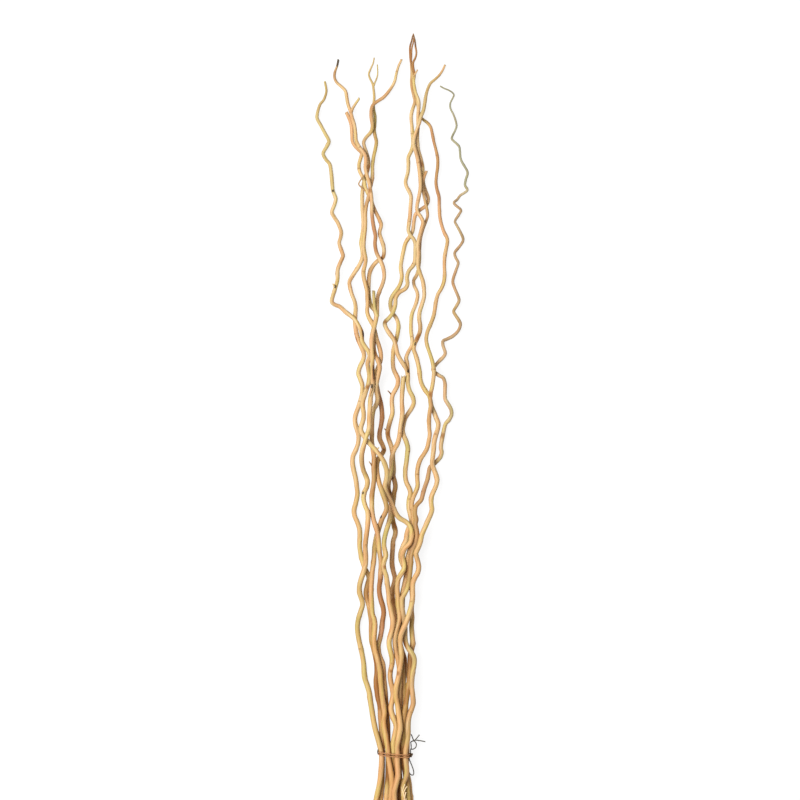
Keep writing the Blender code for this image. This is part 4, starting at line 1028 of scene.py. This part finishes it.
stem_08 = stem_rod(
    "stem_08", STEM_08_ROUTE,
    stains_and_shade=[
        ("brown", 1420, 1480, 0.95), ("bark", 1450, 1480, 0.50), ("brown", 1340, 1430, 0.40),
        ("green", 1200, 1290, 0.20), ("green", 685, 725, 0.65), ("green", 930, 1120, 0.22),
        # The brown from 110 to 400 is painted shade, where it lies under the others
        ("brown", 110, 400, 0.40),
    ],
    spots=[
        ("bark", 28, 856, 6.5, 8), ("brown", 26, 857, 12, 8), ("brown", -18, 943, 6, 4),
    ],
    tip=FINE_TIP_DIAMETER,
)
branch_line, branch_radii = line_on_frame("stem_08", BRANCH_ROUTE, BRANCH, tip=None)
from_fork = distances(branch_line[::-1])[::-1]
branch_line[-1, 2] = stem_08["line"][nearest(stem_08, branch_line[-1, :2]), 2]
branch_radii = branch_radii * (1 + FORK_FLARE * np.exp(-from_fork / FORK_LENGTH))
branch = rod(branch_line, branch_radii, "branch", ends=("snapped", "cut"))
for values in [("brown", 1130, 1225, 0.35), ("brown", 1010, 1030, 0.50), ("rosy", 1080, 1150, 0.40)]:
    stain_and_shade(branch, *values)
piece_of("stem_08", [stem_08, branch], PEELED)


# Stem 09, on the right: a long plain rod whose tip leans back to the middle. High up it kept a thin
# pinkish-brown under-bark.

STEM_09_ROUTE = [
    (35, 1468), (34, 1459), (31.5, 1449), (30.5, 1436), (30, 1415), (33, 1395), (38, 1370),
    (42, 1345), (46, 1326), (52, 1318), (60, 1312), (66, 1304), (69, 1292), (72, 1277),
    (76, 1261), (79, 1246), (79, 1230), (77, 1215), (76, 1201), (78, 1188), (81.5, 1175),
    (82, 1158), (83, 1140), (86, 1125), (91, 1110), (96, 1100), (97, 1091), (94.5, 1078),
    (92, 1064), (91.5, 1048), (92, 1032), (90.5, 1018), (86, 1006), (79.5, 995), (76, 982),
    (74, 969), (72, 957), (68, 945), (62.5, 932), (59, 921), (58, 910), (60.5, 898),
    (64.5, 886), (68.5, 873), (71, 862), (72, 852), (71, 840), (69, 826), (66, 812),
    (65, 800), (66, 789), (64, 776), (63, 762), (63.5, 748), (64.5, 737), (62.5, 724),
    (59.5, 711), (54, 701), (47.5, 691), (43.5, 680), (41.5, 668), (41.5, 655), (42, 642),
    (38.5, 631), (34, 621), (31, 608), (33, 595), (35, 582), (35, 569), (36, 555), (34, 541),
    (29, 529), (25.5, 517), (24, 503), (25, 490), (27, 476), (30, 460), (32, 445), (32, 428),
    (31, 414), (32, 398), (31, 382), (32, 367), (33, 352), (31, 340), (28.5, 329), (28, 315),
    (27.5, 298), (26, 280), (24, 265), (22, 250), (19.5, 235), (17, 220), (15.5, 205),
    (15.5, 190), (16, 176), (14.5, 160), (14, 147), (17, 128), (20, 110), (22.5, 90),
    (24, 70), (27, 45), (31, 20), (33, 5),
]
SLENDER = [(0, 10.0), (400, 8.8), (600, 7.9), (800, 7.3), (1000, 6.8), (1200, 5.8), (1475, 4.4)]

stem_09 = stem_rod(
    "stem_09", STEM_09_ROUTE,
    stains_and_shade=[
        ("brown", 1415, 1475, 0.95), ("rosy", 1100, 1310, 0.45), ("brown", 1165, 1300, 0.50),
        # The brown lengths from 95 to 350 are painted shade, where it lies under the others
        ("green", 850, 960, 0.25), ("brown", 475, 500, 0.50), ("brown", 150, 350, 0.50),
        ("brown", 300, 345, 0.80), ("brown", 235, 275, 0.80), ("green", 172, 240, 0.40),
        ("brown", 95, 168, 0.95),
    ],
    spots=[
        ("brown", 27, 485, 14, 6), ("brown", 65, 812, 8, 4),
    ],
    girth=SLENDER, tip=FINE_TIP_DIAMETER,
)
piece_of("stem_09", [stem_09], BROWN)


# Stem 10, on the far right: the thinnest rod, with the tightest curls. Towards its tip it is as thin as
# wire and kept a grey-green skin. At its foot strips of bark are torn and lift off the wood.

STEM_10_ROUTE = [
    (84, 1378), (91, 1374), (99, 1371), (106, 1367), (109, 1362), (105, 1354), (102, 1346),
    (103, 1337), (108, 1327), (112, 1316), (114, 1306), (111, 1297), (105, 1284), (108, 1278),
    (118, 1268), (120, 1258), (121, 1246), (125, 1236), (134, 1220), (131, 1207),
    (129.5, 1196), (134, 1188), (129, 1183), (121, 1178), (115, 1170), (109, 1164),
    (113, 1158), (122, 1150), (118, 1142), (111, 1130), (114, 1122), (120, 1111), (126, 1097),
    (122, 1087), (111, 1073), (112, 1063), (117, 1053), (113, 1040), (107, 1020), (110, 1007),
    (115, 995), (118.5, 984), (114, 974), (108.5, 964), (112, 956), (118, 947), (121, 939),
    (117, 928), (108, 919), (97, 913), (89, 909), (89, 900), (93, 887), (89, 879), (80, 870),
    (74, 863), (70, 857), (75, 850), (82, 845), (89, 841), (92.5, 831), (92.5, 815),
    (93, 802), (98, 793), (103.5, 783), (104.5, 773), (100, 764), (94, 757), (91, 747),
    (88.5, 735), (86, 722), (85, 712), (86.5, 704), (84, 695), (78, 688), (72, 682),
    (65, 676), (62.5, 666), (60, 653), (55.5, 640), (52, 628), (49, 617), (43, 610),
    (38.5, 604), (37, 592), (39, 581), (38, 571), (40.5, 560), (41, 548), (38, 536),
    (33, 526), (30.5, 515), (29.5, 500), (28.5, 485), (26.5, 470), (23, 454), (17, 442),
    (13, 434), (13.5, 421), (15.5, 408), (17.5, 396), (19, 382), (19, 368), (20, 355),
    (25, 344), (31, 336), (35.5, 326), (35.5, 313), (33, 300), (31.5, 285), (31.5, 272),
    (33, 258), (34, 244), (31.5, 234), (27.5, 223), (25, 211), (24.5, 198), (24.5, 186),
    (23, 173), (20.5, 160), (19.5, 148), (20.5, 137), (22, 125), (22, 115), (19.5, 105),
    (16, 97), (15, 85), (16, 70), (18, 50), (22, 28), (24, 10), (25, -8),
]
SLIM = [
    (0, 9.6), (400, 8.6), (600, 8.0), (750, 7.3), (900, 6.1), (1050, 5.3), (1200, 4.5), (1300, 3.8),
    (1380, 2.8),
]
GREY_SKIN = (0.22, 0.225, 0.14)
STRIP_SIDES = 6
STRIP_SWELL = 0.3
STRIP_DEPTH = 0.85
STRIP_LIFT = 0.12


def torn_strip(stem, wide, points):
    """A torn strip of pale inner bark that lies on its stem and lifts off it towards its end."""
    plan = smooth_curve(points, TWIG_STEP) + SHIFT
    run = distances(plan)
    near = [nearest(stem, place) for place in plan]
    heights = stem["line"][near, 2] + stem["radii"][near] * STRIP_DEPTH + STRIP_LIFT * run[::-1]
    line = np.column_stack([plan, heights])
    strip = rod(line, np.full(len(plan), wide / 2), f"{points[0]}", STRIP_SIDES, swell=STRIP_SWELL)
    strip["marks"]["pale"] += 1
    return strip


GREY = willow_wood(
    "grey willow", (0.45, 0.36, 0.20), (0.50, 0.28, 0.10), (0.24, 0.135, 0.06), 0.45, green=GREY_SKIN,
)

stem_10 = stem_rod(
    "stem_10", STEM_10_ROUTE,
    stains_and_shade=[
        ("green", 1190, 1400, 0.85), ("green", 1060, 1190, 0.45), ("green", 900, 1060, 0.25),
        ("brown", 900, 1160, 0.22), ("rosy", 880, 1180, 0.25), ("brown", 560, 690, 0.35),
        ("rosy", 590, 680, 0.40), ("brown", 460, 595, 0.55),
    ],
    spots=[
        ("brown", 18, 350, 12, 7), ("brown", 88, 735, 8, 4),
    ],
    girth=SLIM,
)
strips = [
    torn_strip(stem_10, 1.6, [(22.5, 91), (19, 86), (16.5, 79), (15.5, 70)]),
    torn_strip(stem_10, 1.4, [(18.5, 95), (16, 88), (13.5, 80), (13, 74)]),
    torn_strip(stem_10, 1.8, [(20.5, 80), (18.5, 74), (17.5, 66), (18, 58)]),
    torn_strip(stem_10, 1.2, [(12.5, 90), (13, 84), (15.5, 76)]),
    torn_strip(stem_10, 1.4, [(21, 68), (19.5, 62), (17, 55)]),
]
piece_of("stem_10", [stem_10, *strips], GREY)


# Stem 11, in front on the right: a stout, pale peeled rod that lies over the others down to the tie, with
# its tip bent out to the right.

STEM_11_ROUTE = [
    (92, 1417), (88, 1408), (82, 1399), (74, 1391), (66, 1384), (61, 1374), (57.5, 1361),
    (55.5, 1348), (53, 1334), (48, 1321), (45, 1310), (41, 1298), (36.5, 1285), (35, 1272),
    (38, 1260), (41.5, 1247), (43.5, 1235), (45.5, 1220), (47, 1204), (47, 1189), (44, 1172),
    (41, 1157), (42, 1146), (48, 1137), (52, 1127), (49, 1113), (45, 1099), (42.5, 1085),
    (43.5, 1070), (42.5, 1055), (44, 1041), (48, 1030), (52, 1018), (54, 1003), (54, 990),
    (50, 976), (46, 963), (45, 950), (47, 937), (46, 925), (41, 913), (37, 904), (35, 894),
    (38.5, 883), (42.5, 869), (45.5, 854), (47, 840), (50, 829), (56, 818), (63, 809),
    (66, 799), (68, 789), (72, 779), (76, 768), (80, 757), (79, 747), (75.5, 736),
    (72.5, 723), (71.5, 709), (70, 695), (69, 684), (72, 673), (76, 662), (78, 652),
    (75.5, 641), (70.5, 630), (67, 619), (67.5, 607), (68.5, 599), (66, 590), (60.5, 578),
    (55, 565), (50, 553), (47, 540), (43, 529), (39, 520), (39.5, 514), (42.5, 503),
    (44, 493), (42, 483), (37, 474), (33.5, 464), (33, 452), (33, 440), (31.5, 428),
    (28.5, 416), (25, 404), (20.5, 391), (15, 379), (11, 367), (10, 355), (11.5, 342),
    (12.5, 330), (11, 318), (9, 307), (7.5, 296), (5, 284), (2.5, 272), (1.8, 260),
    (3.5, 249), (5.5, 238), (7, 226), (9, 213), (10, 201), (8.5, 189), (6, 176), (4, 163),
    (5, 150), (4.5, 138), (5.5, 125), (6, 112), (3.5, 100), (1, 90), (-1, 80), (0, 60),
    (3, 40), (5, 15), (6, -10),
]

stem_11 = stem_rod(
    "stem_11", STEM_11_ROUTE,
    stains_and_shade=[
        ("green", 1320, 1400, 0.35), ("brown", 1330, 1380, 0.25), ("rosy", 1160, 1270, 0.25),
        ("brown", 905, 945, 0.45), ("green", 320, 345, 0.30), ("rosy", 60, 180, 0.20),
    ],
    spots=[
        ("brown", 42, 915, 14, 6), ("brown", 6, 300, 6, 4), ("bark", 37.5, 904, 6, 2.5),
    ],
    top="snapped",
)
piece_of("stem_11", [stem_11], PEELED)


# The twine: a thin two-ply cord of grey-brown natural fibre. It goes twice round the stems, knotted at
# their right-hand side, with a loop above, a loop below and short cut ends.

TWINE = 2.4
PLY_RADIUS = 0.70
PLY_OFFSET = 0.52
PLY_SIDES = 7
PLY_TURN = 5.5
TWINE_STEP = 0.8
TIE_TURNS = (-2.2, 2.2)
TIE_CLEAR = 0.35
RIM_POINTS = 24
TIE_POINTS = 40
KNOT = (29.8, 147.5)
STRANDS = [
    [(30.2, 185.5, -1), (33.4, 177.6, 1), (35.3, 173.6, 3), (38.4, 170.8, 3.5), (39.7, 167.2, 3),
     (39.3, 163.5, 3), (37.7, 160.8, 3), (33, 158.1, 2), (29.6, 158.8, 1)],
    [(29.6, 149, 0), (28.9, 156, 1), (30.2, 160, 1), (29.9, 167, 1), (29.4, 171.2, 1),
     (32.5, 173, 1.5), (35.3, 173.8, 1.5), (38.5, 176, 1), (45.3, 184.4, -1)],
    [(31, 172, -0.5), (35.3, 174, -0.5), (40.1, 174.4, -1), (44.9, 173.6, -2), (49.7, 172.8, -3),
     (56.1, 171.2, -5)],
    [(29.6, 147, 0), (27.2, 143, 2.5), (26.6, 140.9, 3), (28.9, 134.5, 4), (31.8, 127.3, 4),
     (34.2, 120.2, 4), (35, 114.6, 4), (34, 111.6, 3.5), (32.2, 110.6, 3), (29.5, 111.6, 2),
     (27.4, 113.8, 1), (25.6, 118, 1), (24.6, 126, 1), (24, 137, 1), (26.5, 143, 0), (29.6, 147, 0)],
    [(-30.8, 149.5, 0), (-31.6, 153, 1), (-30.8, 157.5, 1.5)],
]
KNOT_SIZE = (1.05, 1.15, 1.3)
KNOT_POINTS = 40
KNOT_TAN = 0.25
TWINE_CLEAR = 0.1


def hull(points):
    """The convex outline of points in a plane, in order round it."""
    ordered = sorted(map(tuple, points))
    outline = []
    for sweep in (ordered, ordered[::-1]):
        chain = []
        for point in sweep:
            while len(chain) > 1:
                ax, az = chain[-1][0] - chain[-2][0], chain[-1][1] - chain[-2][1]
                bx, bz = point[0] - chain[-1][0], point[1] - chain[-1][1]
                if ax * bz - az * bx > 0:
                    break
                chain.pop()
            chain.append(point)
        outline += chain[:-1]
    return np.array(outline)


def tie_outline(along):
    """The twine's path round the stems there: the outline of their sections, in even steps."""
    turns = np.linspace(0, 2 * math.pi, RIM_POINTS, endpoint=False)
    rim = []
    for stem in bundle:
        upward = stem["line"][::-1]
        across, height = (np.interp(along + SHIFT[1], upward[:, 1], upward[:, k]) for k in (0, 2))
        reach = np.interp(along + SHIFT[1], upward[:, 1], stem["radii"][::-1]) + TWINE / 2 + TIE_CLEAR
        rim += [(across + reach * math.cos(t), height + reach * math.sin(t)) for t in turns]
    outline = hull(rim)
    outline = np.vstack([outline, outline[:1]])
    run = distances(outline)
    places = np.linspace(0, run[-1], TIE_POINTS, endpoint=False)
    return np.column_stack([np.interp(places, run, outline[:, k]) for k in range(2)])


def carried(line, closed):
    """Directions square to a cord's line, carried along it without turning round it."""
    ways = np.roll(line, -1, axis=0) - np.roll(line, 1, axis=0) if closed else np.gradient(line, axis=0)
    heading = units(ways)
    side = np.cross(heading[0], (0.3, 0.5, 0.8))
    sides = []
    for direction in heading:
        side = side - direction * side.dot(direction)
        side = side / np.linalg.norm(side)
        sides.append(side)
    return heading, np.array(sides), np.cross(heading, np.array(sides))


def ply(line, start, closed):
    """One ply of the twine: a thin yarn laid in a screw round the cord's line."""
    run = distances(line)
    heading, side, up = carried(line, closed)
    screws = max(1, round(run[-1] / PLY_TURN))
    angle = start + 2 * math.pi * screws * run / run[-1]
    if closed:
        gap = math.atan2(side[-1].dot(up[0]), side[-1].dot(side[0]))
        angle = angle - gap * run / run[-1]
    away = np.cos(angle)[:, None] * side + np.sin(angle)[:, None] * up
    centre = line + PLY_OFFSET * away
    across = np.cross(heading, away)
    turns = np.arange(PLY_SIDES) * 2 * math.pi / PLY_SIDES
    corners = centre[:, None] + PLY_RADIUS * spokes_of(turns, away, across)
    lay = turns[None, :] + angle[:, None]
    grown = np.stack([
        PLY_RADIUS * np.cos(lay) + 3 * start,
        PLY_RADIUS * np.sin(lay),
        np.repeat(run[:, None], PLY_SIDES, axis=1),
    ], axis=2)
    return corners, grown


def tube_faces(start, count, sides, closed=False):
    """The faces of a tube of so many rings, from its first corner on: a ring of its own, or capped."""
    faces = []
    for i in range(count if closed else count - 1):
        here = start + i * sides
        there = start + (i + 1) % count * sides
        for k in range(sides):
            after = (k + 1) % sides
            faces.append((here + k, here + after, there + after, there + k))
    if not closed:
        last = start + (count - 1) * sides
        faces.append(tuple(range(start + sides - 1, start - 1, -1)))
        faces.append(tuple(range(last, last + sides)))
    return faces


def cord_mesh(cords):
    """Corners, faces, grown places and tan marks of all the plies of (line, closed, tan) cords."""
    corners, faces, grown, tans = [], [], [], []
    start = 0
    for line, closed, tan in cords:
        for opening in (0, math.pi):
            skin_corners, places = ply(line, opening, closed)
            count = len(line)
            corners.append(skin_corners.reshape(-1, 3))
            grown.append(places.reshape(-1, 3))
            tans.append(np.full(count * PLY_SIDES, tan))
            faces += tube_faces(start, count, PLY_SIDES, closed)
            start += count * PLY_SIDES
    return np.vstack(corners), faces, np.vstack(grown), np.concatenate(tans)


cords = []
for turn in TIE_TURNS:
    outline = tie_outline(TIE_ALONG + turn)
    along = TIE_ALONG + turn + SHIFT[1] - TIE_SLANT * (outline[:, 0] - SHIFT[0])
    ring = np.column_stack([outline[:, 0], along, outline[:, 1]])
    ring = smooth_curve(np.vstack([ring, ring[:1]]), TWINE_STEP)[:-1]
    cords.append((ring, True, 1.0))
knot_height = tie_outline(TIE_ALONG)[:, 1].mean()
for strand in STRANDS:
    placed = [(x + SHIFT[0], y + SHIFT[1], z + knot_height) for x, y, z in strand]
    cords.append((smooth_curve(placed, TWINE_STEP), False, 0.0))
t = np.linspace(0, 2 * math.pi, KNOT_POINTS, endpoint=False)
trefoil = np.column_stack([np.sin(t) + 2 * np.sin(2 * t), np.cos(t) - 2 * np.cos(2 * t), -np.sin(3 * t)])
knot_line = trefoil * KNOT_SIZE + (KNOT[0] + SHIFT[0], KNOT[1] + SHIFT[1], knot_height)
knot_line = smooth_curve(np.vstack([knot_line, knot_line[:1]]), TWINE_STEP)[:-1]
cords.append((knot_line, True, KNOT_TAN))

corners, faces, grown, tans = cord_mesh(cords)
corners[:, 2] = np.maximum(corners[:, 2], TWINE_CLEAR)

# Loose fibres that stand off the twine
FIBRES = 160
FIBRE_RADIUS = 0.05
FIBRE_REACH = (1.2, 3.4)
FIBRE_BEND = 0.7
FIBRE_TAPER = 0.7
FIBRE_CLEAR = 0.2
FIBRE_STEPS = 5
FIBRE_SIDES = 3

dice = random.Random("fibres")
fibre_corners = []
fibre_faces = []
for _ in range(FIBRES):
    root = Vector(corners[dice.randrange(len(corners))])
    aim = Vector([dice.uniform(-1, 1) for _ in range(3)]).normalized()
    bend = Vector([dice.uniform(-1, 1) for _ in range(3)]) * FIBRE_BEND
    reach = dice.uniform(*FIBRE_REACH)
    one_way = aim.orthogonal().normalized()
    other_way = aim.cross(one_way)
    fibre_faces += tube_faces(len(corners) + len(fibre_corners), FIBRE_STEPS, FIBRE_SIDES)
    for step in range(FIBRE_STEPS):
        share = step / (FIBRE_STEPS - 1)
        middle = root + (aim + bend * share) * reach * share
        middle.z = max(middle.z, FIBRE_CLEAR)
        width = FIBRE_RADIUS * (1 - FIBRE_TAPER * share)
        for k in range(FIBRE_SIDES):
            turn = 2 * math.pi * k / FIBRE_SIDES
            fibre_corners.append(middle + width * (math.cos(turn) * one_way + math.sin(turn) * other_way))
fibre_corners = np.array([corner[:] for corner in fibre_corners])

DRY_FIBRE = (0.095, 0.083, 0.060)
DARK_FIBRE = (0.028, 0.022, 0.015)
PALE_FIBRE = (0.17, 0.15, 0.11)
TAN_FIBRE = (0.55, 0.26, 0.11)
TWINE_ROUGHNESS = 0.86
TWINE_SHEEN = 0.2
TWINE_BUMP = 0.8
TWINE_RELIEF = 0.00012
TWINE_STREAKS = 2600.0
TWINE_HAIRS = 7000.0

jute, tree, shader = new_material("twine fibre")
node = tree.nodes.new("ShaderNodeGroup")
node.node_tree = grain
set_values(node, {"Streak scale": TWINE_STREAKS, "Fibre scale": TWINE_HAIRS})
placed = {output.name: output for output in node.outputs}
colour = over(tree, DRY_FIBRE, TAN_FIBRE, mark(tree, "tan").outputs["Fac"])
colour = over(tree, colour, PALE_FIBRE, span(tree, placed["Streaks"], 0.52, 0.72, 0.0, 0.5))
colour = over(tree, colour, DARK_FIBRE, span(tree, placed["Fibres"], 0.52, 0.36, 0.0, 0.7))
join(tree, colour, shader.inputs["Base Color"])
set_values(shader, {"Roughness": TWINE_ROUGHNESS, "Specular IOR Level": TWINE_SHEEN})
emboss(tree, shader, placed["Fibres"], TWINE_BUMP, TWINE_RELIEF)

corners = np.vstack([corners, fibre_corners])
grown = np.vstack([grown, fibre_corners])
tans = np.concatenate([tans, np.zeros(len(fibre_corners))])
twine_mesh = mesh_of("twine_tie", corners, faces + fibre_faces, grown, {"tan": tans}, jute)
twine = show("twine_tie_cord", twine_mesh)
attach(twine, "root")
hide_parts("twine_tie")
